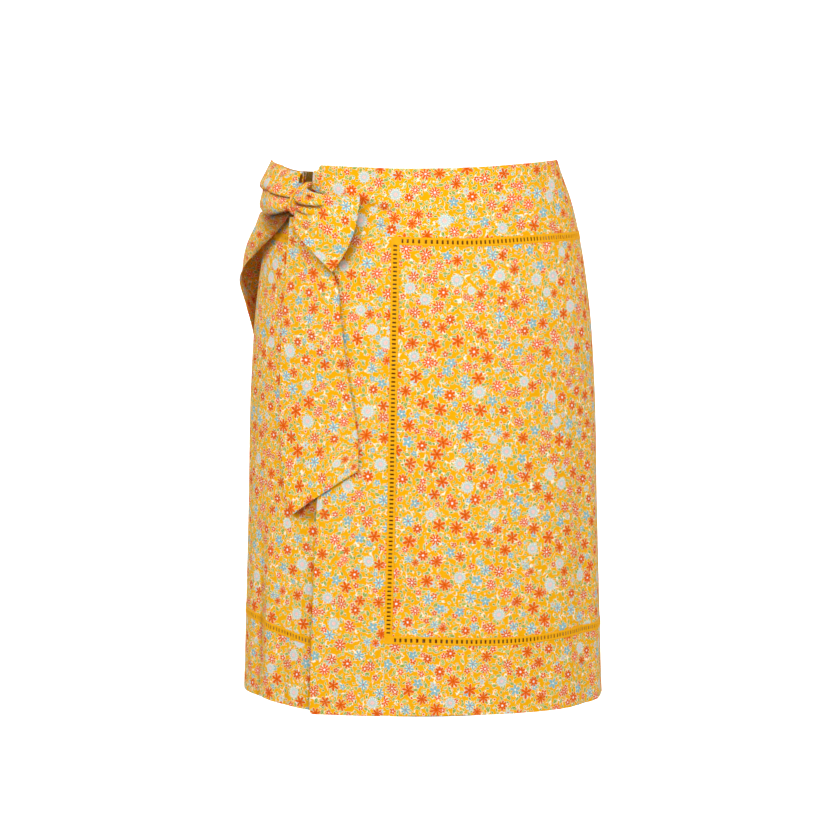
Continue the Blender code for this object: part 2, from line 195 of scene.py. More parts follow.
@dataclass(frozen=True)
class Form:
    """The hollow form that the worn skirt keeps: a rounded girth at each height."""

    girth: Table = Table(
        ("height", "half_width", "front_depth", "back_depth"),
        (
            (-0.545, 0.1806, 0.119, 0.137),
            (-0.34, 0.1745, 0.1195, 0.138),
            (-0.22, 0.1713, 0.1195, 0.14),
            (-0.14, 0.1655, 0.1175, 0.134),
            (-0.075, 0.1556, 0.112, 0.121),
            (-0.04, 0.1474, 0.1065, 0.112),
            (-0.01, 0.1368, 0.1005, 0.104),
            (0.004, 0.132, 0.098, 0.099),
        ),
    )
    roundness: float = 2.2
    hip_height: float = -0.22

    def point(self, around: Array, height: Array, off: Array) -> Array:
        """Points at an angle and a height, moved outwards.

        Formula: a superellipse |x / half width| ** n + |y / depth| ** n = 1 at each height, moved
        along its own level normal.

        Returns:
            An array of the same shape with x, y and z added as the last axis.
        """
        angle = np.radians(around)
        half_width = self.girth.at("half_width", height)
        front = self.girth.at("front_depth", height)
        back = self.girth.at("back_depth", height)
        depth = np.where(np.cos(angle) >= 0.0, front, back)
        side = signed_power(np.sin(angle), 2.0 / self.roundness)
        forward = signed_power(-np.cos(angle), 2.0 / self.roundness)
        out_x = signed_power(side, self.roundness - 1.0) / half_width
        out_y = signed_power(forward, self.roundness - 1.0) / depth
        length = np.hypot(out_x, out_y)
        x = half_width * side + off * out_x / length
        y = depth * forward + off * out_y / length
        return np.stack([x, y, height + 0.0 * x], axis=-1)

    def around_at(self, x: Array, height: Array) -> Array:
        """Angle of the point on the front that has the given x."""
        half_width = self.girth.at("half_width", height)
        return np.degrees(np.arcsin(signed_power(x / half_width, self.roundness / 2.0)))

    def arc(self, around: Array, height: Array) -> Array:
        """Metres of cloth along the girth from centre front.

        Formula: the arc length at hip height, summed over steps of a quarter of a degree, times
        the share of the hip's half width that the given height has.
        """
        steps = np.arange(-200.0, 380.0, 0.25)
        line = self.point(steps, np.full_like(steps, self.hip_height), np.zeros_like(steps))
        total = running(np.linalg.norm(np.diff(line, axis=0), axis=1))
        total = total - np.interp(0.0, steps, total)
        hip = float(self.girth.at("half_width", np.array(self.hip_height)))
        return np.interp(around, steps, total) * self.girth.at("half_width", height) / hip

    def down(self, height: Array) -> Array:
        """Metres of cloth down from the height of the origin, measured over the swell of the hip."""
        steps = np.linspace(-0.56, 0.02, 233)
        mean = 0.5 * (self.girth.at("half_width", steps) + self.girth.at("front_depth", steps))
        total = running(np.hypot(np.diff(mean), np.diff(steps)))
        return np.interp(0.0, steps, total) - np.interp(height, steps, total)


FORM = Form()


@dataclass(frozen=True)
class Lines:
    """Level lines round the skirt: the height at each angle."""

    columns = ("around", "height")
    waist: Table = Table(columns, (
        (-180, -0.0135), (-150, -0.014), (-120, -0.0142), (-105, -0.0125), (-90, -0.0102), (-48, -0.0016),
        (-24, -0.0024), (-8, -0.0034), (18, -0.0024), (46, 0.0002), (70, 0.0014), (90, 0.0006),
        (112, -0.0055), (135, -0.0112), (180, -0.0135),
    ))
    underlap_waist: Table = Table(columns, (
        (-90, -0.0102), (-60, -0.0098), (-48, -0.009), (-20, -0.0068), (50, -0.004),
    ))
    yoke: Table = Table(columns, (
        (-180, -0.079), (-90, -0.0705), (-55, -0.0735), (-10, -0.0722), (15, -0.0742), (40, -0.0722),
        (90, -0.073), (180, -0.079),
    ))
    hem_band: Table = Table(columns, (
        (-180, -0.456), (-90, -0.4475), (-36, -0.461), (-6, -0.4606), (27, -0.4633), (61, -0.4602),
        (90, -0.461), (180, -0.456),
    ))
    hem: Table = Table(columns, (
        (-180, -0.531), (-90, -0.529), (-36, -0.5371), (-13, -0.5363), (10, -0.535), (30, -0.5355),
        (60, -0.5352), (90, -0.5325), (180, -0.531),
    ))
    underlap_hem_band: Table = Table(columns, (
        (-90, -0.4475), (-75, -0.4495), (-63, -0.453), (-51, -0.4587), (-36, -0.4661), (50, -0.4665),
    ))
    underlap_hem: Table = Table(columns, (
        (-90, -0.529), (-64, -0.529), (-52, -0.5312), (-41, -0.5335), (-36, -0.5344), (50, -0.5344),
    ))

    @staticmethod
    def level(rows: Table, shift: float = 0.0) -> Edge:
        """Level line as a function of the angle, moved up or down by a shift."""
        return lambda around: rows.at("height", turned(around)) + shift


@dataclass(frozen=True)
class Uprights:
    """Upright edges of the front: the sideways place at each height."""

    columns = ("height", "x")
    wrap_edge: Table = Table(columns, (
        (-0.54, -0.1102), (-0.474, -0.1083), (-0.355, -0.104), (-0.325, -0.1029), (0.004, -0.1015),
    ))
    trim: Table = Table(columns, (
        (-0.54, -0.035), (-0.452, -0.0334), (-0.347, -0.0307), (-0.244, -0.0289), (0.004, -0.0252),
    ))
    underlap_end_x: float = 0.113
    side: float = 90.0

    @staticmethod
    def upright(rows: Table, shift: float = 0.0, corner: float | None = None, radius: float = 0.0) -> Edge:
        """Upright edge that follows a table of x places.

        Formula: within a radius r of a rounded corner, at a distance d from its height, the edge
        moves in by r - sqrt(r squared - (r - d) squared).

        Args:
            rows: the x places.
            shift: sideways movement.
            corner: height of the rounded corner at its end, if it has one.
            radius: the corner's radius.

        Returns:
            The angle at each height.
        """
        def edge(height: Array) -> Array:
            x = rows.at("x", height) + shift
            if corner is not None:
                away = np.clip(radius - np.abs(height - corner), 0.0, radius)
                x = x + radius - np.sqrt(radius**2 - away**2)
            return FORM.around_at(x, height)
        return edge

    @staticmethod
    def straight(around: float) -> Edge:
        """Upright edge at one angle."""
        return lambda height: around + 0.0 * height

    def underlap_end(self, height: Array) -> Array:
        """Hidden inner edge of the underlap."""
        return FORM.around_at(self.underlap_end_x + 0.0 * height, height)


LINES = Lines()
UPRIGHTS = Uprights()


# ---- Relief: folds, creases and puckers ----


@dataclass(frozen=True)
class Fold:
    """Soft upright fold that grows downwards; a positive depth stands outwards."""

    around: float
    half_angle: float
    depth: float
    fades_in: float
    full: float

    def off(self, around: Array, height: Array) -> Array:
        """Outward movement: a bell across the fold times a smooth step down it."""
        across = np.exp(-(((around - self.around) / self.half_angle) ** 2))
        return self.depth * across * ease((self.fades_in - height) / (self.fades_in - self.full))


@dataclass(frozen=True)
class Crease:
    """Soft trough between two places, each an angle and a height, with a low shoulder on either side."""

    start: Pair
    end: Pair
    depth: float
    half_width: float
    bend: float = 0.0
    shoulder: float = 0.7
    fullness: float = 0.7
    end_share: float = 0.02

    def off(self, around: Array, height: Array) -> Array:
        """Outward movement.

        Formula: with x the distance from the crease's bent middle line in half widths, the
        profile is -(1 - shoulder times x squared) exp(-x squared), tapered at both ends.
        """
        place = np.stack([FORM.arc(around, height), height + 0.0 * around], axis=-1)
        ends = [
            np.array([float(FORM.arc(np.array(angle), np.array(level))), level])
            for angle, level in (self.start, self.end)
        ]
        along = ends[1] - ends[0]
        length = float(np.linalg.norm(along))
        along = along / length
        beside = np.array([-along[1], along[0]])
        t = np.clip((place - ends[0]) @ along / length, 0.0, 1.0)
        x = ((place - ends[0]) @ beside - self.bend * 4.0 * t * (1.0 - t)) / self.half_width
        beyond = (place - ends[0]) @ along / length - t
        inner = np.clip(t, self.end_share, 1.0 - self.end_share)
        taper = np.sin(math.pi * inner) ** self.fullness * np.exp(-((beyond * length / self.half_width) ** 2))
        return -self.depth * (1.0 - self.shoulder * x**2) * np.exp(-(x**2)) * taper


def creases(*rows: tuple[float, ...]) -> tuple[Crease, ...]:
    """Creases from rows of both ends' angles and heights, then depth, half width and bend in millimetres."""
    return tuple(Crease(row[:2], row[2:4], *(size * MM for size in row[4:])) for row in rows)


@dataclass(frozen=True)
class Puckers:
    """Small uneven puckers across a level seam; each wander has a size, a length and a use of the phase."""

    seam: Table
    first: float
    last: float
    height: float = 0.26 * MM
    pitch: float = 10.5 * MM
    reach: float = 11.0 * MM
    phase: float = 0.0
    wanders: Rows = ((1.6, 0.031, 1.0), (1.1, 0.0127, 2.0))
    end_fade: float = 4.0

    def off(self, around: Array, height: Array) -> Array:
        """Outward movement: a wave of wandering pitch along the seam, dying away from it."""
        run = FORM.arc(around, height)
        wander = sum(size * np.sin(run / length + times * self.phase) for size, length, times in self.wanders)
        wave = np.sin(2.0 * math.pi * run / self.pitch + wander)
        away = np.abs(height - self.seam.at("height", turned(around)))
        inside = ease((around - self.first) / self.end_fade) * ease((self.last - around) / self.end_fade)
        return self.height * wave * np.exp(-away / self.reach) * inside


@dataclass(frozen=True)
class FreeEdge:
    """Lower part of a free edge, which stands off the layer beneath."""

    line: Table
    lift: float
    reach: float
    fades_in: float
    full: float

    def off(self, around: Array, height: Array) -> Array:
        """Outward movement: dies away with distance from the edge and grows down it."""
        edge = FORM.around_at(self.line.at("x", height), height)
        run = np.maximum(FORM.arc(around, height) - FORM.arc(edge, height), 0.0)
        down = ease((self.fades_in - height) / (self.fades_in - self.full))
        return self.lift * np.exp(-((run / self.reach) ** 2)) * down


@dataclass(frozen=True)
class Relief:
    """Everything that lifts a layer of the skirt off its plain form."""

    parts: tuple[Fold | Crease | Puckers | FreeEdge, ...]

    def off(self, around: Array, height: Array) -> Array:
        """Sum of all the parts' outward movements."""
        angle = turned(around)
        total = np.zeros_like(angle + height)
        for part in self.parts:
            total = total + part.off(angle, height)
        return total


FRONT_RELIEF = Relief((
    Fold(62, 7.0, -0.0022, -0.19, -0.3),
    Fold(72, 6.0, 0.0018, -0.22, -0.34),
    Fold(8, 12.0, 0.0012, -0.3, -0.5),
    Fold(-22, 9.0, -0.0009, -0.36, -0.52),
))
FRONT_CREASES = Relief((
    FreeEdge(UPRIGHTS.wrap_edge, 3.0 * MM, 13.0 * MM, -0.3, -0.46),
    *creases(
        (-24.0, -0.032, -6.0, -0.046, 2.1, 4.6, -1.5),
        (-20.0, -0.054, -3.0, -0.068, 1.5, 5.0, 1.5),
        (-34.0, -0.1, -27.0, -0.117, 1.6, 3.6, 0.6),
        (-22.0, -0.104, -18.0, -0.125, 1.0, 4.0, 1.0),
        (26.0, -0.01, 38.0, -0.056, 0.5, 8.0, 3.0),
        (66.0, -0.02, 58.0, -0.066, 0.6, 7.0, -3.0),
        (-12.0, -0.12, 2.0, -0.23, 0.5, 9.0, 5.0),
        (20.0, -0.2, 30.0, -0.33, 0.5, 11.0, -6.0),
        (48.0, -0.11, 40.0, -0.19, 0.5, 9.0, 4.0),
        (10.0, -0.35, 4.0, -0.44, 0.6, 9.0, 2.0),
        (-33.0, -0.38, -35.0, -0.51, 0.7, 6.0, 1.0),
        (36.0, -0.47, 38.0, -0.53, 0.7, 7.0, 0.0),
        (-8.0, -0.475, -9.0, -0.533, 0.6, 6.0, 0.0),
    ),
    Puckers(LINES.yoke, -34.0, 90.0, phase=0.4),
    Puckers(LINES.hem_band, -34.0, 90.0, phase=1.7),
    Puckers(LINES.hem, -50.0, 90.0, 0.3 * MM, 17.0 * MM, 9.0 * MM, 0.9),
    Puckers(LINES.waist, -50.0, 90.0, 0.16 * MM, 13.0 * MM, 7.0 * MM, 2.2),
))
UNDERLAP_RELIEF = Relief((
    Fold(-66, 4.5, -0.003, -0.28, -0.44),
    Fold(-58, 4.5, 0.0022, -0.3, -0.46),
    Fold(-47, 3.6, -0.0022, -0.42, -0.52),
    *creases(
        (-80.0, -0.09, -70.0, -0.19, 0.8, 7.0, 4.0),
        (-70.0, -0.19, -78.0, -0.33, 0.8, 8.0, -5.0),
    ),
    Puckers(LINES.underlap_hem_band, -90.0, -38.0, phase=2.9),
    Puckers(LINES.yoke, -90.0, -38.0, phase=0.9),
    Puckers(LINES.underlap_hem, -90.0, -38.0, 0.25 * MM, 15.0 * MM, 9.0 * MM, 0.2),
))
BACK_RELIEF = Relief((
    Fold(-160, 9.0, 0.003, -0.22, -0.5),
    Fold(-143, 8.0, -0.0026, -0.26, -0.5),
    Fold(-118, 9.0, 0.0026, -0.3, -0.52),
    Fold(112, 8.0, -0.0028, -0.26, -0.5),
    Fold(128, 8.0, 0.003, -0.24, -0.5),
    Fold(158, 9.0, -0.0026, -0.28, -0.52),
    *creases(
        (150.0, -0.025, 141.0, -0.068, 0.7, 7.0, 2.0),
        (-140.0, -0.03, -128.0, -0.066, 0.8, 6.0, -2.0),
        (-172.0, -0.12, -165.0, -0.23, 0.7, 9.0, 5.0),
        (168.0, -0.15, 176.0, -0.27, 0.6, 9.0, -4.0),
        (134.0, -0.1, 140.0, -0.18, 0.6, 8.0, 3.0),
        (-128.0, -0.11, -136.0, -0.21, 0.7, 8.0, -3.0),
        (104.0, -0.13, 100.0, -0.25, 0.6, 8.0, 3.0),
        (-176.0, -0.33, -172.0, -0.435, 0.7, 9.0, 3.0),
    ),
    *(
        Puckers(line, first, last, *sizes, phase=phase)
        for line, sizes, phase in (
            (LINES.yoke, (), 0.1), (LINES.hem_band, (), 1.1),
            (LINES.hem, (0.3 * MM, 17.0 * MM, 9.0 * MM), 1.2),
        )
        for first, last in ((90.0, 181.0), (-180.0, -90.0))
    ),
))
LAYER_STEP = 0.0024      # how far the underlap lies inside the overlap
UNDERLAP_SLOPE = 26.0    # degrees over which the underlap passes from the side seam to its full step
HEM_FLATTENING = 0.75    # share of its relief that the underlap loses at the hem
HEM_FLAT_FROM = -0.485   # height below which it starts to lose it
HEM_FLAT_RUN = 0.045     # metres from there to the full loss


@dataclass(frozen=True)
class Contact:
    """Edge of a piece that lies on another and shades the cloth beside it.

    Attributes:
        edge: the edge's angle at each height, from the lowest up.
        side: 1 where the shaded cloth lies to the right of the edge, -1 to the left.
        strength: depth of fold that the shade counts as, at the edge.
        reach: metres over which it dies away beside the edge, and taper beyond its ends.
    """

    edge: Table
    side: int
    strength: float
    reach: float
    taper: float = 9.0 * MM

    def at(self, around: Array, height: Array) -> Array:
        """Shade at each place.

        Formula: strength times exp(-distance / reach) beside the edge, in full beneath the piece,
        tapered to nothing beyond the edge's two ends.
        """
        line = self.edge.at("around", height)
        away = np.maximum(self.side * (FORM.arc(around, height) - FORM.arc(line, height)), 0.0)
        low, high = self.edge.rows[0][0], self.edge.rows[-1][0]
        inside = ease((height - low) / self.taper + 1.0) * ease((high - height) / self.taper + 1.0)
        return self.strength * np.exp(-away / self.reach) * inside


EDGE = ("height", "around")    # columns of the tables that follow, one for each edge of the bow
TAIL_LEFT = Table(EDGE, (
    (-0.342, -44.5), (-0.323, -47.6), (-0.295, -49.6), (-0.245, -51.5), (-0.2, -51.8), (-0.15, -52.3),
    (-0.105, -52.8), (-0.074, -53.6),
))
TAIL_RIGHT = Table(EDGE, (
    (-0.295, -18.8), (-0.27, -18.8), (-0.238, -20.4), (-0.2, -22.9), (-0.152, -25.6), (-0.106, -29.5),
))
TAIL_END = Table(EDGE, (
    (-0.346, -43.5), (-0.33, -35.5), (-0.312, -27.0), (-0.296, -19.0),
))
LOOP_FAR = Table(EDGE, (
    (-0.101, -31.0), (-0.097, -27.2), (-0.088, -24.4), (-0.08, -22.8), (-0.062, -22.6), (-0.044, -22.3),
    (-0.036, -22.3),
))
LOOP_LOW = Table(EDGE, (
    (-0.102, -31.2), (-0.097, -33.6), (-0.079, -39.4), (-0.064, -44.8), (-0.049, -50.2), (-0.041, -54.2),
))
POCKET = Table(EDGE, ((-0.088, -77.0), (-0.076, -70.5), (-0.064, -64.5), (-0.056, -60.0)))


BOW_SHADES = (
    Contact(TAIL_RIGHT, 1, 0.06, 2.6 * MM), Contact(TAIL_END, 1, 0.14, 2.8 * MM),
    Contact(LOOP_FAR, 1, 0.46, 3.6 * MM),
)


def under_bow(around: Array, height: Array) -> Array:
    """Shade that the bow throws on the overlap."""
    return np.max([shade.at(turned(around), height) for shade in BOW_SHADES], axis=0)


@dataclass(frozen=True)
class OverlapShade:
    """Shade on the underlap: deep beneath the overlap, and soft beside its edge and the tail's.

    Each upright crease has an angle, a half angle, a shade, a highest place and a run to its full shade.
    """

    beside: float = 0.62
    beside_reach: float = 4.6 * MM
    beside_from: float = -0.31
    beside_run: float = 0.12
    hidden: float = 0.94
    hidden_in: float = 1.0 * MM
    hidden_run: float = 3.0 * MM
    tail: Contact = Contact(TAIL_LEFT, -1, 0.58, 2.6 * MM)
    upright: Rows = ((-66.0, 1.5, 0.34, -0.32, 0.16), (-47.5, 1.0, 0.28, -0.46, 0.06))

    def at(self, around: Array, height: Array) -> Array:
        """Deepest of the shades at each place."""
        edge = FORM.around_at(UPRIGHTS.wrap_edge.at("x", height), height)
        run = FORM.arc(around, height) - FORM.arc(edge, height)
        beside = self.beside * np.exp(-np.maximum(-run, 0.0) / self.beside_reach)
        beside = beside * ease((self.beside_from - height) / self.beside_run)
        hidden = self.hidden * ease((run - self.hidden_in) / self.hidden_run)
        upright = sum(
            shade * np.exp(-(((around - middle) / half_angle) ** 2)) * ease((highest - height) / full_run)
            for middle, half_angle, shade, highest, full_run in self.upright
        )
        return np.max([beside, hidden, self.tail.at(around, height), upright], axis=0)


under_overlap: ReliefAt = OverlapShade().at


def front_off(around: Array, height: Array) -> Array:
    """Outer face of the overlap."""
    return FRONT_RELIEF.off(around, height) + FRONT_CREASES.off(around, height)


def back_off(around: Array, height: Array) -> Array:
    """Outer face of the back."""
    return BACK_RELIEF.off(around, height)


def underlap_off(around: Array, height: Array) -> Array:
    """Outer face of the underlap, which passes inside the overlap beyond the hip's side seam."""
    inside = ease((around + UPRIGHTS.side) / UNDERLAP_SLOPE)
    shared = FRONT_RELIEF.off(around, height) * inside
    flat_hem = 1.0 - HEM_FLATTENING * ease((HEM_FLAT_FROM - height) / HEM_FLAT_RUN)
    return shared + UNDERLAP_RELIEF.off(around, height) * flat_hem - LAYER_STEP * inside


# ---- Meshes ----

CUT_MAP = "Cut"          # place of each point on the flat cloth, in metres
BAKE_MAP = "OFBake"      # the same places fitted into a square, outside and inside side by side
BAKE_SPLIT = 0.72        # share of the square's width that the outside takes
BAKE_MARGIN = 0.004      # share of the square left free round each
SHARP_ANGLE = math.radians(55.0)
PAINTED_SHADE = "Fold"            # painted shade at each point, from 0 to 1: how deep it lies in a fold or in another piece's shadow


def sheet_normals(points: Array) -> Array:
    """Unit normals of a grid of points: rows' direction crossed with columns' direction."""
    normal = np.cross(np.gradient(points, axis=0), np.gradient(points, axis=1))
    return normal / np.maximum(np.linalg.norm(normal, axis=-1, keepdims=True), 1e-12)


def marks(length: float, pitch: float, rim: Sequence[float]) -> Array:
    """Shares along a length from 0 to 1, set closer near both ends.

    Args:
        length: the piece's length in metres.
        pitch: step away from the ends, in metres.
        rim: distances of the close lines from each end, starting at 0.

    Returns:
        Rising shares of the length.
    """
    count = max(2, round((length - 2.0 * rim[-1]) / pitch) + 1)
    inner = np.linspace(rim[-1], length - rim[-1], count)
    close = np.array(rim[:-1])
    return np.concatenate([close, inner, length - close[::-1]]) / length


def hollow(off: Array, spread: int, full: float) -> Array:
    """How deep in a fold each place of a grid lies, which the pieces carry as painted shade.

    Formula: the smoothed surface less the surface itself, as a share of the depth that counts as
    full, from 0 to 1. Each round of smoothing is a mean over the place and its four neighbours.

    Args:
        off: outward movement at each place.
        spread: rounds of smoothing.
        full: depth in metres that gives 1.

    Returns:
        Shares from 0 to 1, of the grid's shape.
    """
    soft = off
    for _ in range(spread):
        wide = np.pad(soft, 1, mode="edge")
        soft = 0.2 * (wide[:-2, 1:-1] + wide[2:, 1:-1] + wide[1:-1, :-2] + wide[1:-1, 2:] + wide[1:-1, 1:-1])
    return ease((soft - off) / full)


def grid_lengths(points: Array) -> Places:
    """Running lengths down the rows and along the columns of a grid, each from its middle."""
    down = np.linalg.norm(np.diff(points, axis=0), axis=-1)
    across = np.linalg.norm(np.diff(points, axis=1), axis=-1)
    down = np.concatenate([np.zeros((1, points.shape[1])), np.cumsum(down, axis=0)])
    across = np.concatenate([np.zeros((points.shape[0], 1)), np.cumsum(across, axis=1)], axis=1)
    return down, across - across[:, across.shape[1] // 2][:, None]


@dataclass
class Shell:
    """Closed shell of cloth between an outer and an inner grid of points.

    Attributes:
        cut: place on the flat cloth of each grid point, in metres.
        keep: which cells are cloth; the rest are holes. None keeps all.
        fold: painted shade of each outer grid point, from 0 to 1, from how deep it lies in a fold or in
            another piece's shadow. None is 0 all over.
        fold_inside: how much of that painted shade the inner points take.
    """

    name: str
    outer: Array
    inner: Array
    cut: Array
    keep: Array | None = None
    fold: Array | None = None
    fold_inside: float = 0.0

    def _faces(self) -> Places:
        """Quads as point numbers, and for each the surface it lies on: 0 outer, 1 inner, 2 rim."""
        rows, columns = self.outer.shape[:2]
        index = np.arange(rows * columns).reshape(rows, columns)
        keep = np.ones((rows - 1, columns - 1), bool) if self.keep is None else self.keep
        a, b = index[:-1, :-1], index[1:, :-1]
        c, d = index[1:, 1:], index[:-1, 1:]
        outer = np.stack([a, b, c, d], axis=-1)[keep]
        inner = outer[:, ::-1] + rows * columns
        edged = np.pad(keep, 1)
        walls = []
        for start, end, beside in (
            (a, b, edged[1:-1, :-2]), (b, c, edged[2:, 1:-1]),
            (c, d, edged[1:-1, 2:]), (d, a, edged[:-2, 1:-1]),
        ):
            bare = keep & ~beside
            first, last = start[bare], end[bare]
            walls.append(np.stack([last, first, first + rows * columns, last + rows * columns], axis=-1))
        rim = np.concatenate(walls)
        kind = np.repeat([0, 1, 2], [len(outer), len(inner), len(rim)])
        return np.concatenate([outer, inner, rim]), kind

    def _bake_places(self, faces: Array, kind: Array) -> Array:
        """Places in the unit square for each face corner, with the outside left of the inside."""
        low = self.cut.reshape(-1, 2).min(axis=0)
        span = np.ptp(self.cut.reshape(-1, 2), axis=0)
        place = np.tile((self.cut.reshape(-1, 2) - low) / span, (2, 1))[faces]
        inside = (kind == 1)[:, None]
        width = np.where(inside, 1.0 - BAKE_SPLIT, BAKE_SPLIT) - 2.0 * BAKE_MARGIN
        start = np.where(inside, BAKE_SPLIT, 0.0) + BAKE_MARGIN
        across = start + width * place[..., 0]
        along = BAKE_MARGIN + (1.0 - 2.0 * BAKE_MARGIN) * place[..., 1]
        return np.stack([across, along], axis=-1)

    def build(self, outside: Material, inside: Material | None = None) -> Piece:
        """Mesh object of the shell.

        Args:
            outside: material of the outer face and the rim.
            inside: material of the inner face; the outside's when it isn't given.

        Returns:
            The linked object, which sits at the origin.
        """
        faces, kind = self._faces()
        points = np.concatenate([self.outer.reshape(-1, 3), self.inner.reshape(-1, 3)])
        used, faces = np.unique(faces, return_inverse=True)
        faces = faces.reshape(-1, 4)
        mesh = quad_mesh(self.name, points[used], faces)
        corners = used[faces]
        cut = np.tile(self.cut.reshape(-1, 2), (2, 1))[corners]
        for name, places in ((CUT_MAP, cut), (BAKE_MAP, self._bake_places(corners, kind))):
            layer = mesh.uv_layers.new(name=name, do_init=False)
            layer.uv.foreach_set("vector", places.astype(np.float32).ravel())
        # painted shade on the points, which the finishes darken their colour by
        if self.fold is not None:
            depth = np.concatenate([self.fold.ravel(), self.fold_inside * self.fold.ravel()])[used]
            mesh.attributes.new(PAINTED_SHADE, "FLOAT", "POINT").data.foreach_set("value", depth.astype(np.float32))
        mesh.materials.append(outside)
        if inside is not None:
            mesh.materials.append(inside)
            mesh.polygons.foreach_set("material_index", (kind == 1).astype(np.int32))
        mesh.shade_smooth()
        mesh.set_sharp_from_angle(angle=SHARP_ANGLE)
        return linked(self.name, mesh)


def quad_mesh(name: str, points: Array, faces: Array) -> bpy.types.Mesh:
    """Mesh of quads from whole arrays of points and of point numbers."""
    mesh = bpy.data.meshes.new(name)
    mesh.vertices.add(len(points))
    mesh.vertices.foreach_set("co", points.astype(np.float32).ravel())
    mesh.loops.add(faces.size)
    mesh.loops.foreach_set("vertex_index", faces.astype(np.int32).ravel())
    mesh.polygons.add(len(faces))
    mesh.polygons.foreach_set("loop_start", np.arange(0, faces.size, 4, dtype=np.int32))
    mesh.update(calc_edges=True)
    mesh.validate()
    return mesh


def linked(name: str, data: bpy.types.ID | None) -> Piece:
    """New object linked to the scene."""
    piece = bpy.data.objects.new(name, data)
    bpy.context.scene.collection.objects.link(piece)
    return piece


def finish_piece(piece: Piece, slot: Slot, nodes: Sequence[str] = ()) -> Piece:
    """Makes a piece ride on the body and stand for its nodes, and reports it."""
    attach(piece, "root")
    if nodes:
        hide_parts(*nodes)
    LOG.info("%s: %d faces", piece.name, len(piece.data.polygons))
    return piece


# ---- Shader building ----


def srgb(red: int, green: int, blue: int) -> Colour:
    """Linear colour of a screen colour given from 0 to 255."""
    def linear(value: float) -> float:
        return value / 12.92 if value <= 0.04045 else ((value + 0.055) / 1.055) ** 2.4
    return (*(linear(channel / 255.0) for channel in (red, green, blue)), 1.0)


class Value:
    """A number carried by a shader socket; arithmetic on it adds Math nodes."""

    def __init__(self, maker: NodeMaker, socket: bpy.types.NodeSocket) -> None:
        """Wraps one output socket of the maker's tree."""
        self.maker = maker
        self.socket = socket

    def __add__(self, other: Input) -> Value:
        """Sum."""
        return self.maker.maths("ADD", self, other)

    __radd__ = __add__

    def __sub__(self, other: Input) -> Value:
        """Difference."""
        return self.maker.maths("SUBTRACT", self, other)

    def __rsub__(self, other: Input) -> Value:
        """Difference, the other way round."""
        return self.maker.maths("SUBTRACT", other, self)

    def __mul__(self, other: Input) -> Value:
        """Product."""
        return self.maker.maths("MULTIPLY", self, other)

    __rmul__ = __mul__

    def __truediv__(self, other: Input) -> Value:
        """Quotient."""
        return self.maker.maths("DIVIDE", self, other)

    def __pow__(self, other: Input) -> Value:
        """Power."""
        return self.maker.maths("POWER", self, other)

    def __abs__(self) -> Value:
        """Size without sign."""
        return self.maker.maths("ABSOLUTE", self)

    def __gt__(self, other: Input) -> Value:
        """1 where this is more than the other, else 0."""
        return self.maker.maths("GREATER_THAN", self, other)


Input = Any


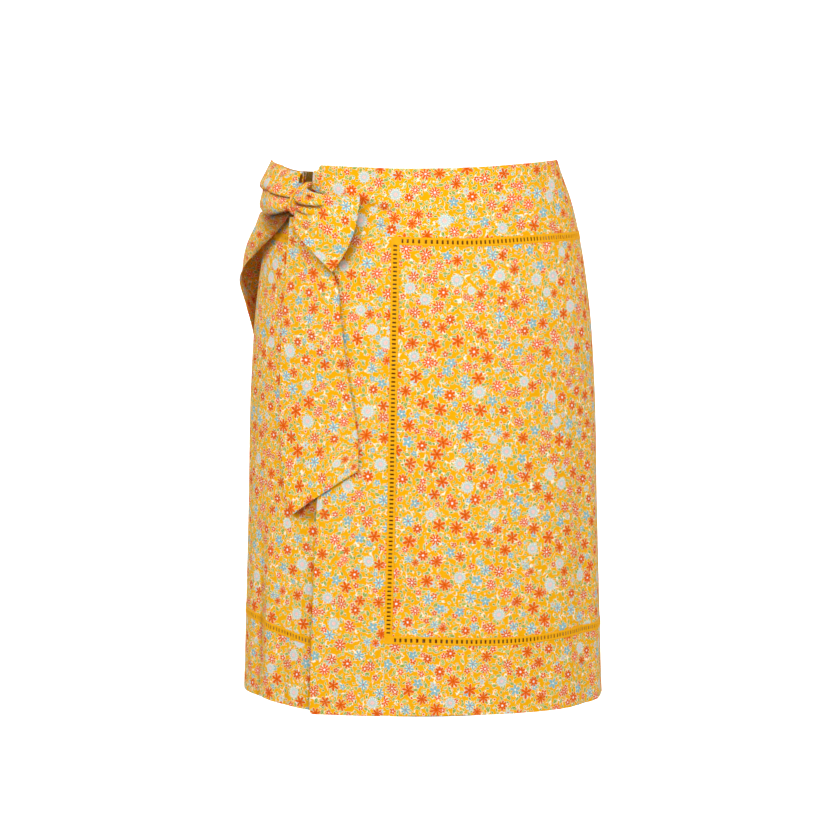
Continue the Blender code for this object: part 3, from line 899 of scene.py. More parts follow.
class NodeMaker:
    """Builds the nodes of one material."""

    def __init__(self, name: str) -> None:
        """Starts an empty material with its output node."""
        self.material = bpy.data.materials.new(name)
        self.material.use_nodes = True
        self.tree = self.material.node_tree
        self.tree.nodes.clear()
        self.output = self.node("OutputMaterial")

    def node(self, kind: str, settings: Mapping[str, Any] | None = None,
             inputs: Mapping[str | int, Input] | None = None) -> bpy.types.Node:
        """Adds one node.

        Args:
            kind: the node's type, less its common start.
            settings: its properties, set first; "stops" gives a ramp's stops.
            inputs: values or links for its sockets, by name or number.

        Returns:
            The new node.
        """
        made = self.tree.nodes.new("ShaderNode" + kind)
        for name, value in (settings or {}).items():
            if name == "stops":
                self._set_stops(made.color_ramp, value)
            else:
                setattr(made, name, value)
        for key, value in (inputs or {}).items():
            socket = made.inputs[key]
            if isinstance(value, Value):
                self.tree.links.new(value.socket, socket)
            elif isinstance(value, bpy.types.NodeSocket):
                self.tree.links.new(value, socket)
            else:
                socket.default_value = value
        return made

    @staticmethod
    def _set_stops(ramp: bpy.types.ColorRamp, stops: Sequence[tuple[float, Colour]]) -> None:
        """Gives a ramp stepped stops."""
        ramp.interpolation = "CONSTANT"
        while len(ramp.elements) < len(stops):
            ramp.elements.new(1.0)
        for element, (position, colour) in zip(ramp.elements, stops):
            element.position = position
            element.color = colour

    def maths(self, operation: str, *values: Value | float, clamp: bool = False) -> Value:
        """Math node on up to three values."""
        settings = {"operation": operation, "use_clamp": clamp}
        made = self.node("Math", settings, dict(enumerate(values)))
        return Value(self, made.outputs[0])

    def vector(self, operation: str, *values: Input, name: str = "Vector") -> Value:
        """Vector Math node on its inputs in order."""
        made = self.node("VectorMath", {"operation": operation}, dict(enumerate(values)))
        return Value(self, made.outputs[name])

    def scaled(self, place: Input, factor: Input) -> Value:
        """Vector or colour times a number."""
        made = self.node("VectorMath", {"operation": "SCALE"}, {0: place, "Scale": factor})
        return Value(self, made.outputs["Vector"])

    def parts(self, place: Input) -> tuple[Value, Value, Value]:
        """The three numbers of a vector or a colour."""
        made = self.node("SeparateXYZ", None, {0: place})
        return tuple(Value(self, socket) for socket in made.outputs)

    def mix(self, factor: Input, first: Input, second: Input) -> Value:
        """Colour that goes from the first to the second as the factor goes from 0 to 1."""
        made = self.node("Mix", {"data_type": "RGBA"}, {0: factor, 6: first, 7: second})
        return Value(self, made.outputs[2])

    def noise(self, place: Input, size: float, detail: float = 2.0, roughness: float = 0.5) -> Value:
        """Noise from 0 to 1 whose features are about the given size."""
        inputs = {"Vector": place, "Scale": 1.0 / size, "Detail": detail, "Roughness": roughness}
        return Value(self, self.node("TexNoise", {"noise_dimensions": "2D"}, inputs).outputs[0])

    def noise_vector(self, place: Input, size: float, reach: float) -> Value:
        """Wandering shift of at most about half the reach each way."""
        inputs = {"Vector": place, "Scale": 1.0 / size, "Detail": 1.0}
        made = self.node("TexNoise", {"noise_dimensions": "2D"}, inputs)
        centred = self.vector("SUBTRACT", made.outputs["Color"], (0.5, 0.5, 0.5))
        return self.scaled(centred, reach)

    def within(self, distance: Value, softness: float) -> Value:
        """1 where a signed distance is inside, 0 outside, with a soft edge of the given width."""
        return self.maths("MULTIPLY_ADD", distance, 1.0 / softness, 0.5, clamp=True)

    def cut_place(self) -> Value:
        """Place on the flat cloth in millimetres."""
        made = self.node("UVMap", {"uv_map": CUT_MAP})
        return self.scaled(made.outputs["UV"], 1.0 / MM)

    def fold(self) -> Value:
        """Painted shade at the place, from 0 to 1: how deep it lies in a fold or in another piece's shadow.
        """
        return Value(self, self.node("Attribute", {"attribute_name": PAINTED_SHADE}).outputs["Fac"])

    def finish(self, colour: Input, roughness: Input, normal: Input,
               constants: Mapping[str, Any]) -> Material:
        """Joins the finish to a principled shader and returns the material."""
        inputs = {"Base Color": colour, "Roughness": roughness, "Normal": normal, **constants}
        shader = self.node("BsdfPrincipled", None, inputs)
        self.tree.links.new(shader.outputs[0], self.output.inputs["Surface"])
        return self.material


# ---- Finishes ----

GOLD = srgb(247, 177, 0)
DEEP_GOLD = srgb(240, 168, 0)
CREAM = srgb(254, 240, 214)
WHITE = srgb(250, 240, 234)
ORANGE = srgb(230, 94, 0)
DEEP_ORANGE = srgb(216, 80, 0)
CORAL = srgb(238, 94, 8)
PEACH = srgb(242, 150, 90)
SKY = srgb(130, 182, 194)
PALE_BLUE = srgb(194, 210, 208)
LEAF = srgb(130, 162, 22)
PALE_LEAF = srgb(168, 182, 52)

SIZE_SCALE = 10.0        # a ramp holds numbers from 0 to 1, so sizes are divided by this,
PETAL_SCALE = 16.0       # numbers of petals by this
SHARPNESS_SCALE = 4.0    # and sharpness by this


@dataclass(frozen=True)
class Blossom:
    """One kind of printed flower, with its sizes in millimetres.

    Attributes:
        share: share of the flowers that are of this kind.
        notch: reach between two petals, as a share of the radius.
        sharpness: 1 for rounded petals, more for thin ones.
        disc: 1 where the flower lies on a pale disc, 0 where its outline follows the petals.
    """

    share: float
    radius: float
    petals: int
    notch: float
    sharpness: float
    disc: float
    heart: float
    petal_colour: Colour
    heart_colour: Colour

    def sizes(self) -> Colour:
        """Radius, notch and heart, packed as a colour."""
        return self.radius / SIZE_SCALE, self.notch, self.heart / SIZE_SCALE, 1.0

    def forms(self) -> Colour:
        """Petals, sharpness and disc, packed as a colour."""
        return self.petals / PETAL_SCALE, self.sharpness / SHARPNESS_SCALE, self.disc, 1.0


LARGE_BLOSSOMS = (
    Blossom(0.15, 6.6, 8, 0.28, 1.0, 0.0, 1.0, ORANGE, DEEP_ORANGE),
    Blossom(0.14, 6.6, 6, 0.18, 0.9, 0.0, 1.2, ORANGE, DEEP_ORANGE),
    Blossom(0.13, 5.6, 8, 0.5, 0.9, 0.0, 1.3, ORANGE, WHITE),
    Blossom(0.1, 6.0, 9, 0.28, 1.3, 0.6, 1.2, CORAL, WHITE),
    Blossom(0.15, 6.2, 8, 0.26, 1.3, 0.56, 1.1, ORANGE, WHITE),
    Blossom(0.1, 5.4, 5, 0.26, 0.9, 0.0, 1.1, SKY, CREAM),
    Blossom(0.11, 6.6, 13, 0.52, 1.2, 0.8, 2.4, PALE_BLUE, WHITE),
    Blossom(0.12, 5.8, 7, 0.22, 1.4, 0.64, 0.9, SKY, CORAL),
)
SMALL_BLOSSOMS = (
    Blossom(0.22, 3.4, 5, 0.36, 0.9, 0.0, 0.9, ORANGE, WHITE),
    Blossom(0.12, 3.4, 6, 0.38, 1.0, 0.5, 0.9, CORAL, WHITE),
    Blossom(0.1, 3.2, 5, 0.36, 1.0, 0.0, 0.8, SKY, CREAM),
    Blossom(0.1, 3.4, 6, 0.34, 1.2, 0.0, 0.8, PALE_BLUE, ORANGE),
    Blossom(0.46, 0.0, 5, 0.3, 1.0, 0.0, 0.0, ORANGE, ORANGE),
)


@dataclass(frozen=True)
class Layout:
    """How one kind of motif is scattered: looseness 0 is a square grid, 1 a fully random one."""

    spacing: float
    looseness: float
    turn: float


@dataclass
class Scatter:
    """Cells of a scattered motif: place from the cell's middle, three chances and the room there."""

    place: Value
    chances: tuple[Value, Value, Value]
    room: Value | None = None


FLAT_CELLS = {"voronoi_dimensions": "2D"}
SHIFT_PER_DEGREE = (7.3, 3.1)    # millimetres by which each degree of a layout's turn also moves it
LEAST_SIZE = 0.01                # keeps divisions away from 0, and marks kinds that aren't drawn


@dataclass(frozen=True)
class PrintedCotton:
    """Cotton lawn with an all-over print of small flowers, leaves and dots; lengths in millimetres.

    Attributes:
        strength: how much of the print shows through on this side of the cloth.
        depth: painted shade, the share of its colour's brightness that is kept, as if only that much light
            reached it.
        size_change: least share of a flower's size, and what its chance adds.
        room_fit: share of the room that a flower may fill, and the gap it then leaves.
        petal_light: a petal's light, and what its chance and the wobble of its outline add.
    """

    name: str
    strength: float = 1.0
    depth: float = 1.0
    bare: Colour = srgb(238, 176, 70)
    # tint towards which the painted shade darkens the colour
    fold_tint: Triple = (0.34, 0.2, 0.14)
    soft: float = 0.16
    outline: float = 0.33
    thread: float = 0.42
    large: Layout = Layout(17.8, 0.62, 29.0)
    small: Layout = Layout(13.8, 0.6, 52.0)
    leaves: Layout = Layout(8.4, 0.55, 17.0)
    leaflets: Layout = Layout(6.2, 0.55, 61.0)
    dots: Layout = Layout(9.5, 0.8, -34.0)
    vine_break: float = 0.56
    vine_half_width: float = 0.48
    vine_spacing: float = 6.6
    seed_rate: float = 3.0
    leaf_half_length: Pair = (2.0, 3.2)
    leaflet_half_length: Pair = (1.3, 2.0)
    vein_from: float = 2.5
    ring: float = 0.45
    size_change: Pair = (0.84, 0.22)
    room_fit: Pair = (1.12, 0.35)
    petal_light: Triple = (0.93, 0.1, 0.36)

    @staticmethod
    def _scatter(maker: NodeMaker, place: Value, layout: Layout, with_room: bool = False) -> Scatter:
        """Loose grid of cells, one motif in each, with the room that neighbours leave if it is asked for."""
        shift = (layout.turn * SHIFT_PER_DEGREE[0], layout.turn * SHIFT_PER_DEGREE[1], 0.0)
        inputs = {"Vector": place, "Rotation": (0.0, 0.0, math.radians(layout.turn)), "Location": shift}
        moved = maker.node("Mapping", None, inputs).outputs["Vector"]
        cell_inputs = {"Vector": moved, "Scale": 1.0 / layout.spacing, "Randomness": layout.looseness}
        cell = maker.node("TexVoronoi", FLAT_CELLS, cell_inputs)
        local = maker.vector("SUBTRACT", moved, cell.outputs["Position"])
        room = None
        if with_room:
            settings = {**FLAT_CELLS, "feature": "N_SPHERE_RADIUS"}
            ball = maker.node("TexVoronoi", settings, cell_inputs)
            room = Value(maker, ball.outputs["Radius"]) * layout.spacing
        return Scatter(local, maker.parts(cell.outputs["Color"]), room)

    @staticmethod
    def _choose(maker: NodeMaker, chance: Value, kinds: Sequence[Blossom],
                pick: Callable[[Blossom], Colour]) -> bpy.types.NodeSocket:
        """Stepped ramp that gives each kind's colour or packed sizes over its share of the chances."""
        starts = np.concatenate([[0.0], np.cumsum([kind.share for kind in kinds])])[:-1]
        stops = [(float(start), pick(kind)) for start, kind in zip(starts, kinds)]
        return maker.node("ValToRGB", {"stops": stops}, {"Fac": chance}).outputs["Color"]

    def _blossoms(self, maker: NodeMaker, under: Value, cells: Scatter, kinds: Sequence[Blossom],
                  wobble: Value) -> Value:
        """Flowers over what lies beneath.

        Formula: at an angle a and a radius r from the middle, n petals reach
        R (notch + (1 - notch) |cos(n a / 2)| ** sharpness), and the outline runs round them or
        round a disc just wider than they are.
        """
        kind, spin, shade = cells.chances
        petal_colour = self._choose(maker, kind, kinds, lambda k: k.petal_colour)
        heart_colour = self._choose(maker, kind, kinds, lambda k: k.heart_colour)
        sizes = self._choose(maker, kind, kinds, Blossom.sizes)
        forms = self._choose(maker, kind, kinds, Blossom.forms)
        radius, notch, heart = maker.parts(sizes)
        petals, sharpness, disc = maker.parts(forms)
        east, north, _ = maker.parts(cells.place)
        angle = maker.maths("ARCTAN2", north, east) + spin * (2.0 * math.pi)
        distance = maker.vector("LENGTH", cells.place, name="Value") + wobble
        least, added = self.size_change
        share, gap = self.room_fit
        size = maker.maths("MINIMUM", radius * SIZE_SCALE * (least + added * shade), cells.room * share - gap)
        wave = maker.maths("COSINE", angle * petals * (0.5 * PETAL_SCALE))
        lobe = abs(wave) ** (sharpness * SHARPNESS_SCALE)
        edge = size * (notch + (1.0 - notch) * lobe) - distance
        rim = maker.maths("MAXIMUM", edge, disc * size * 0.96 - distance)
        there = radius > LEAST_SIZE
        outlined = maker.mix(maker.within(rim + self.outline, self.soft) * there, under, CREAM)
        light, by_chance, by_wobble = self.petal_light
        petal = maker.scaled(petal_colour, light + by_chance * shade + by_wobble * wobble)
        body = maker.mix(maker.within(edge, self.soft) * there, outlined, petal)
        middle = heart * SIZE_SCALE * (size / (radius * SIZE_SCALE + LEAST_SIZE)) - distance
        seeds = maker.maths("SINE", east * self.seed_rate) * maker.maths("SINE", north * self.seed_rate)
        core = maker.mix(maker.within(abs(seeds) - 0.5, 0.3) * (heart > 0.2), heart_colour, CORAL)
        return maker.mix(maker.within(middle - 0.13, self.soft) * there, body, core)

    def _leaves(self, maker: NodeMaker, under: Value, cells: Scatter, wobble: Value,
                half_length: Pair, slimness: float) -> Value:
        """Leaves with a pale outline and, on the large ones, a vein.

        Formula: half width W (1 - (x / L) squared) at x along the leaf from its middle.
        """
        tone, spin, size = cells.chances
        turned_place = maker.node(
            "VectorRotate", {"rotation_type": "Z_AXIS"},
            {"Vector": cells.place, "Angle": spin * (2.0 * math.pi)},
        ).outputs[0]
        along, across, _ = maker.parts(turned_place)
        shortest, longest = half_length
        half = shortest + (longest - shortest) * size
        share = along / half
        edge = half * slimness * (1.0 - share * share) - abs(across + wobble)
        outlined = maker.mix(maker.within(edge + self.outline * 0.9, self.soft), under, CREAM)
        green = maker.mix(tone > 0.62, LEAF, PALE_LEAF)
        leaf = maker.mix(maker.within(edge, self.soft), outlined, green)
        if longest < self.vein_from:
            return leaf
        vein = maker.within(0.12 - abs(across + wobble), 0.16) * maker.within(edge - 0.3, self.soft)
        return maker.mix(vein * 0.75, leaf, CREAM)

    def _dots(self, maker: NodeMaker, under: Value, cells: Scatter) -> Value:
        """Buds and dots: small discs, each with a pale ring."""
        tone, size, presence = cells.chances
        distance = maker.vector("LENGTH", cells.place, name="Value")
        radius = 0.5 + 0.6 * size
        stops = [(0.0, CORAL), (0.34, ORANGE), (0.6, SKY), (0.78, LEAF), (0.9, PEACH)]
        tint = maker.node("ValToRGB", {"stops": stops}, {"Fac": tone}).outputs["Color"]
        there = presence > 0.25
        ringed = maker.mix(maker.within(radius + self.ring - distance, self.soft) * there, under, CREAM)
        return maker.mix(maker.within(radius - distance, self.soft) * there, ringed, tint)

    def _vines(self, maker: NodeMaker, under: Value, place: Value) -> Value:
        """Thin pale stems that wander between the motifs and break off."""
        bent = maker.vector("ADD", place, maker.noise_vector(place, 7.5, 9.0))
        inputs = {"Vector": bent, "Scale": 1.0 / self.vine_spacing, "Randomness": 0.9}
        settings = {**FLAT_CELLS, "feature": "DISTANCE_TO_EDGE"}
        cells = maker.node("TexVoronoi", settings, inputs)
        web = Value(maker, cells.outputs["Distance"]) * self.vine_spacing
        broken = maker.within(maker.noise(place, 6.0, 1.0) - self.vine_break, 0.04)
        stem = maker.within(self.vine_half_width - web, self.soft) * broken
        return maker.mix(stem, under, CREAM)

    def _weave(self, maker: NodeMaker, place: Value) -> Value:
        """Height of the plain weave and of the cloth's light crumple, in millimetres."""
        across, along, _ = maker.parts(place)
        rate = 2.0 * math.pi / self.thread
        weave = maker.maths("SINE", across * rate) * maker.maths("SINE", along * rate)
        crumple = maker.noise(place, 14.0, 3.0, 0.55)
        return weave * 0.018 + crumple * 0.55

    def build(self) -> Material:
        """Material of the finish."""
        maker = NodeMaker(self.name)
        place = maker.cut_place()
        drawn = maker.vector("ADD", place, maker.noise_vector(place, 3.2, 1.0))
        wobble = maker.noise(place, 1.5, 1.0) * 0.5 - 0.25
        ground = maker.mix(maker.noise(place, 30.0, 3.0), GOLD, DEEP_GOLD)
        colour = self._vines(maker, ground, drawn)
        leaflets = self._scatter(maker, drawn, self.leaflets)
        colour = self._leaves(maker, colour, leaflets, wobble, self.leaflet_half_length, 0.46)
        leaves = self._scatter(maker, drawn, self.leaves)
        colour = self._leaves(maker, colour, leaves, wobble, self.leaf_half_length, 0.44)
        colour = self._dots(maker, colour, self._scatter(maker, drawn, self.dots))
        small = self._scatter(maker, drawn, self.small, with_room=True)
        colour = self._blossoms(maker, colour, small, SMALL_BLOSSOMS, wobble)
        large = self._scatter(maker, drawn, self.large, with_room=True)
        colour = self._blossoms(maker, colour, large, LARGE_BLOSSOMS, wobble)
        slubs = maker.noise(maker.vector("MULTIPLY", place, (1.0, 0.06, 1.0)), 0.7, 1.0)
        if self.strength < 1.0:
            colour = maker.mix(self.strength, self.bare, colour)
        # a depth below 1 darkens the whole print as painted shade
        colour = maker.scaled(colour, (0.965 + 0.07 * slubs) * self.depth)
        # painted shade: the colour darkens towards a brown in folds and where other pieces throw shadow
        colour = maker.mix(maker.fold(), colour, maker.vector("MULTIPLY", colour, self.fold_tint))
        bump_inputs = {"Strength": 0.55, "Distance": 1.0 * MM, "Height": self._weave(maker, place)}
        bump = maker.node("Bump", None, bump_inputs).outputs[0]
        roughness = 0.8 + 0.1 * maker.noise(place, 2.0, 1.0)
        constants = {"Sheen Weight": 0.02, "Sheen Roughness": 0.5, "Specular IOR Level": 0.04}
        return maker.finish(colour, roughness, bump, constants)


@dataclass(frozen=True)
class TrimCotton:
    """Golden corded cotton of the ladder trim and of the sewing thread; lengths in millimetres."""

    name: str
    ribs: float = 0.55
    cross_ribs: float = 0.9
    # colour on the crests of the ribs, and below it the colour in their troughs, darker as painted shade
    light: Colour = srgb(250, 184, 0)
    dark: Colour = srgb(236, 158, 0)
    fold_tint: Triple = (0.22, 0.12, 0.06)

    def build(self) -> Material:
        """Material of the finish: satin stitches side by side, lighter on their crests and darker between
        them as painted shade, with an uneven tone.
        """
        maker = NodeMaker(self.name)
        place = maker.cut_place()
        along, across, _ = maker.parts(place)
        rib = maker.maths("SINE", along * (2.0 * math.pi / self.ribs)) * 0.5 + 0.5
        cross = maker.maths("SINE", across * (2.0 * math.pi / self.cross_ribs)) * 0.5 + 0.5
        unevenness = maker.noise(place, 1.3, 2.0)
        # lighter where the ribs, the cross ribs and the unevenness raise the bump and darker where they sink
        # it: painted shade
        colour = maker.mix(0.35 * rib + 0.25 * cross + 0.4 * unevenness, self.dark, self.light)
        # painted shade: darker where the pieces carry shade, such as beneath the overlap
        colour = maker.mix(maker.fold(), colour, maker.vector("MULTIPLY", colour, self.fold_tint))
        height = rib * 0.05 + cross * 0.03 + unevenness * 0.04
        bump_inputs = {"Strength": 0.6, "Distance": 1.0 * MM, "Height": height}
        bump = maker.node("Bump", None, bump_inputs).outputs[0]
        constants = {"Specular IOR Level": 0.12}
        return maker.finish(colour, 0.62 + 0.12 * unevenness, bump, constants)


@dataclass(frozen=True)
class Paper:
    """White backdrop that carries its own light, so that it stays even."""

    name: str
    glow: float = 0.96

    def build(self) -> Material:
        """Material of the backdrop."""
        maker = NodeMaker(self.name)
        place = maker.node("TexCoord").outputs["Object"]
        grain = maker.mix(maker.noise(place, 0.4, 2.0), (0.78, 0.78, 0.78, 1.0), (0.82, 0.82, 0.82, 1.0))
        inputs = {
            "Base Color": grain, "Roughness": 0.9, "Emission Color": (1.0, 1.0, 1.0, 1.0),
            "Emission Strength": self.glow, "Specular IOR Level": 0.0,
        }
        shader = maker.node("BsdfPrincipled", None, inputs)
        maker.tree.links.new(shader.outputs[0], maker.output.inputs["Surface"])
        return maker.material


@dataclass
class Finishes:
    """All the finishes of the skirt, each built once."""

    print_outside: Material = field(default_factory=PrintedCotton("printed_cotton_right_side").build)
    print_inside: Material = field(
        default_factory=PrintedCotton("printed_cotton_wrong_side", strength=0.55).build)
    # the print faded and darkened as painted shade, for the hollow fold inside the bow
    print_deep: Material = field(
        default_factory=PrintedCotton("printed_cotton_deep_in_a_fold", strength=0.45, depth=0.3).build)
    trim: Material = field(default_factory=TrimCotton("ladder_trim_cotton").build)


# ---- Skirt panels ----


MIDDLE_HEIGHT = -0.27    # half way down the skirt, from where the places on a piece are solved
PASSES = 4               # rounds of that solving


@dataclass(frozen=True)
class Turning:
    """Which edges of a panel are free and turned under; the others are sewn into a seam."""

    top: float = 0.0
    bottom: float = 0.0
    left: float = 0.0
    right: float = 0.0


@dataclass
class Patch:
    """Piece between two upright edges and two level lines, standing off the form by a relief."""

    node: str
    left: Edge
    right: Edge
    top: Edge
    bottom: Edge
    relief: ReliefAt

    def places(self, u: Array, v: Array) -> Places:
        """Angle and height at shares across and down, solved so that slanted edges meet the lines."""
        height = 2.0 * MIDDLE_HEIGHT * v
        for _ in range(PASSES):
            around = self.left(height) * (1.0 - u) + self.right(height) * u
            height = self.top(around) * (1.0 - v) + self.bottom(around) * v
        return around, height


@dataclass
class Panel(Patch):
    """One cut piece of the skirt."""

    turning: Turning
    cut_from: Pair
    hangs_from: str
    pitch: float = 2.6 * MM
    cloth: float = 0.5 * MM
    turned_cloth: float = 1.0 * MM
    seam_roll: float = 0.5 * MM
    free_roll: float = 0.32 * MM
    roll_reach: float = 1.8 * MM
    turn_rise: float = 0.16 * MM
    turn_soft: float = 1.6 * MM
    pinch: float = 0.35
    rim: tuple[float, ...] = (0.0, 0.5 * MM, 1.1 * MM, 1.9 * MM)
    shade: ReliefAt | None = None
    fold_spread: int = 5
    fold_full: float = 2.0 * MM

    def _laid_flat(self, steps: int) -> Places:
        """Metres of cloth across and down at an even grid of places."""
        around, height = self.places(*np.meshgrid(np.linspace(0, 1, steps + 1), np.linspace(0, 1, steps + 1)))
        return FORM.arc(around, height), FORM.down(height)

    def size(self, steps: int = 40) -> Pair:
        """Width and length of the piece at its middle, in metres."""
        across, down = self._laid_flat(steps)
        middle = steps // 2
        return float(across[middle, -1] - across[middle, 0]), float(down[-1, middle] - down[0, middle])

    def shell(self) -> Shell:
        """Shell of the piece.

        Formula: the form's point at each place, moved out by the layer's relief, rolled in at
        its seams and thickened where an edge is turned under.
        """
        width, length = self.size()
        u, v = np.meshgrid(marks(width, self.pitch, self.rim), marks(length, self.pitch, self.rim))
        around, height = self.places(u, v)
        off = self.relief(around, height)
        inward = np.zeros_like(off)
        doubled = np.zeros_like(off)
        distances = ((v * length, self.turning.top), ((1 - v) * length, self.turning.bottom),
                     (u * width, self.turning.left), ((1 - u) * width, self.turning.right))
        for away, turn in distances:
            near = np.clip(1.0 - away / self.roll_reach, 0.0, 1.0) ** 2
            inward = np.maximum(inward, near * (self.free_roll if turn else self.seam_roll))
            if turn:
                doubled = np.maximum(doubled, ease((turn - away) / self.turn_soft))
        outside = off - inward + self.turn_rise * doubled
        thickness = self.cloth + (self.turned_cloth - self.cloth) * doubled
        pinch = np.minimum(inward, self.pinch * thickness) * (doubled > 0.5)
        inside = off + self.turn_rise * doubled - thickness + pinch - inward * (doubled <= 0.5)
        outer = FORM.point(around, height, outside)
        inner = FORM.point(around, height, inside)
        across, down = FORM.arc(around, height), FORM.down(height)
        cut = np.stack([across + self.cut_from[0], -down + self.cut_from[1]], axis=-1)
        # painted shade: darker in the relief's hollows, and in the shade the layer is given, beneath the
        # overlap and beside the bow
        fold = hollow(off, self.fold_spread, self.fold_full)
        if self.shade is not None:
            fold = np.maximum(fold, self.shade(around, height))
        return Shell(self.node + "_cloth", outer, inner, cut, fold=fold)

    def flat(self, steps: int = 60) -> tuple[Pair, float]:
        """Size of the rectangle that the cut needs, and the cut's own area."""
        across, down = self._laid_flat(steps)
        box = float(np.ptp(across)), float(np.ptp(down))
        grid = np.stack([across, down], axis=-1)
        ring = np.concatenate([grid[0, :-1], grid[:-1, -1], grid[-1, :0:-1], grid[:0:-1, 0]])
        x, y = ring.T
        area = 0.5 * abs(float(np.dot(x, np.roll(y, -1)) - np.dot(y, np.roll(x, -1))))
        return box, min(area, box[0] * box[1])

    def build(self, finishes: Finishes) -> Piece:
        """Finished piece."""
        piece = self.shell().build(finishes.print_outside, finishes.print_inside)
        return finish_piece(piece, Slot.PRINT, [self.node])


@dataclass
class SkirtBody:
    """Yokes, main panels, border band and hem bands of all three layers."""

    trim_width: float = 8.0 * MM
    lap: float = 0.5 * MM
    hem_turn: float = 14.0 * MM
    waist_turn: float = 5.0 * MM
    edge_turn: float = 9.0 * MM
    top_corner: float = -0.0012
    low_corner: float = -0.5372
    corner_radius: float = 4.2 * MM

    def panels(self) -> list[Panel]:
        """Every cut piece."""
        return [*self._front(), *self._ring_back(), *self._ring_underlap()]

    def _front(self) -> list[Panel]:
        """Overlap: yoke, border band, main panel and hem band."""
        half = 0.5 * self.trim_width
        under = half - self.lap
        level, upright = Lines.level, Uprights.upright
        top_corner = upright(UPRIGHTS.wrap_edge, 0.0, self.top_corner, self.corner_radius)
        low_corner = upright(UPRIGHTS.wrap_edge, 0.0, self.low_corner, self.corner_radius)
        side = Uprights.straight(UPRIGHTS.side)
        band_edge = upright(UPRIGHTS.trim, -under)
        yoke = Panel(
            "yoke_overlap", top_corner, side, level(LINES.waist), level(LINES.yoke, under), front_off,
            Turning(top=self.waist_turn, left=self.edge_turn), (0.031, 0.42), "waist", shade=under_bow,
        )
        band = Panel(
            "front_band", low_corner, band_edge, level(LINES.yoke, half), level(LINES.hem), front_off,
            Turning(bottom=self.hem_turn, left=self.edge_turn), (0.007, -0.013), "yoke_overlap",
            shade=under_bow,
        )
        main = Panel(
            "front_panel", upright(UPRIGHTS.trim, under), side, level(LINES.yoke, -under),
            level(LINES.hem_band, under), front_off, Turning(), (0.512, 0.118), "yoke_overlap",
        )
        hem = Panel(
            "hem_band_front", band_edge, side, level(LINES.hem_band, -under), level(LINES.hem), front_off,
            Turning(bottom=self.hem_turn), (0.311, 0.744), "front_panel",
        )
        return [yoke, band, main, hem]

    def _ring(self, ending: str, left: Edge, right: Edge, lines: Sequence[Table], relief: ReliefAt,
              edges: Turning, start: float) -> list[Panel]:
        """Yoke, main panel and hem band of a layer with the same upright edges all the way down."""
        under = 0.5 * self.trim_width - self.lap
        waist, yoke, hem_band, hem = lines
        level = Lines.level
        sides = {"left": edges.left, "right": edges.right}
        rows = (
            ("yoke_" + ending, level(waist), level(yoke, under), Turning(top=self.waist_turn, **sides),
             "waist"),
            (ending + "_panel", level(yoke, -under), level(hem_band, under), Turning(**sides),
             "yoke_" + ending),
            ("hem_band_" + ending, level(hem_band, -under), level(hem),
             Turning(bottom=self.hem_turn, **sides), ending + "_panel"),
        )
        shade = under_overlap if ending == "underlap" else None
        return [
            Panel(name, left, right, top, bottom, relief, turning,
                  (start + 0.37 * step, start * 0.6 - 0.29 * step), above, shade=shade)
            for step, (name, top, bottom, turning, above) in enumerate(rows)
        ]

    def _ring_back(self) -> list[Panel]:
        """Back, from the right side seam round to the left one."""
        lines = (LINES.waist, LINES.yoke, LINES.hem_band, LINES.hem)
        left = Uprights.straight(UPRIGHTS.side)
        right = Uprights.straight(360.0 - UPRIGHTS.side)
        return self._ring("back", left, right, lines, back_off, Turning(), 0.83)

    def _ring_underlap(self) -> list[Panel]:
        """Underlap, from the left side seam in under the overlap."""
        lines = (LINES.underlap_waist, LINES.yoke, LINES.underlap_hem_band, LINES.underlap_hem)
        left = Uprights.straight(-UPRIGHTS.side)
        edges = Turning(right=self.edge_turn)
        return self._ring("underlap", left, UPRIGHTS.underlap_end, lines, underlap_off, edges, 0.21)

    def build(self, finishes: Finishes) -> dict[str, Piece]:
        """All the panels, by node."""
        return {panel.node: panel.build(finishes) for panel in self.panels()}


# ---- Ladder trim ----


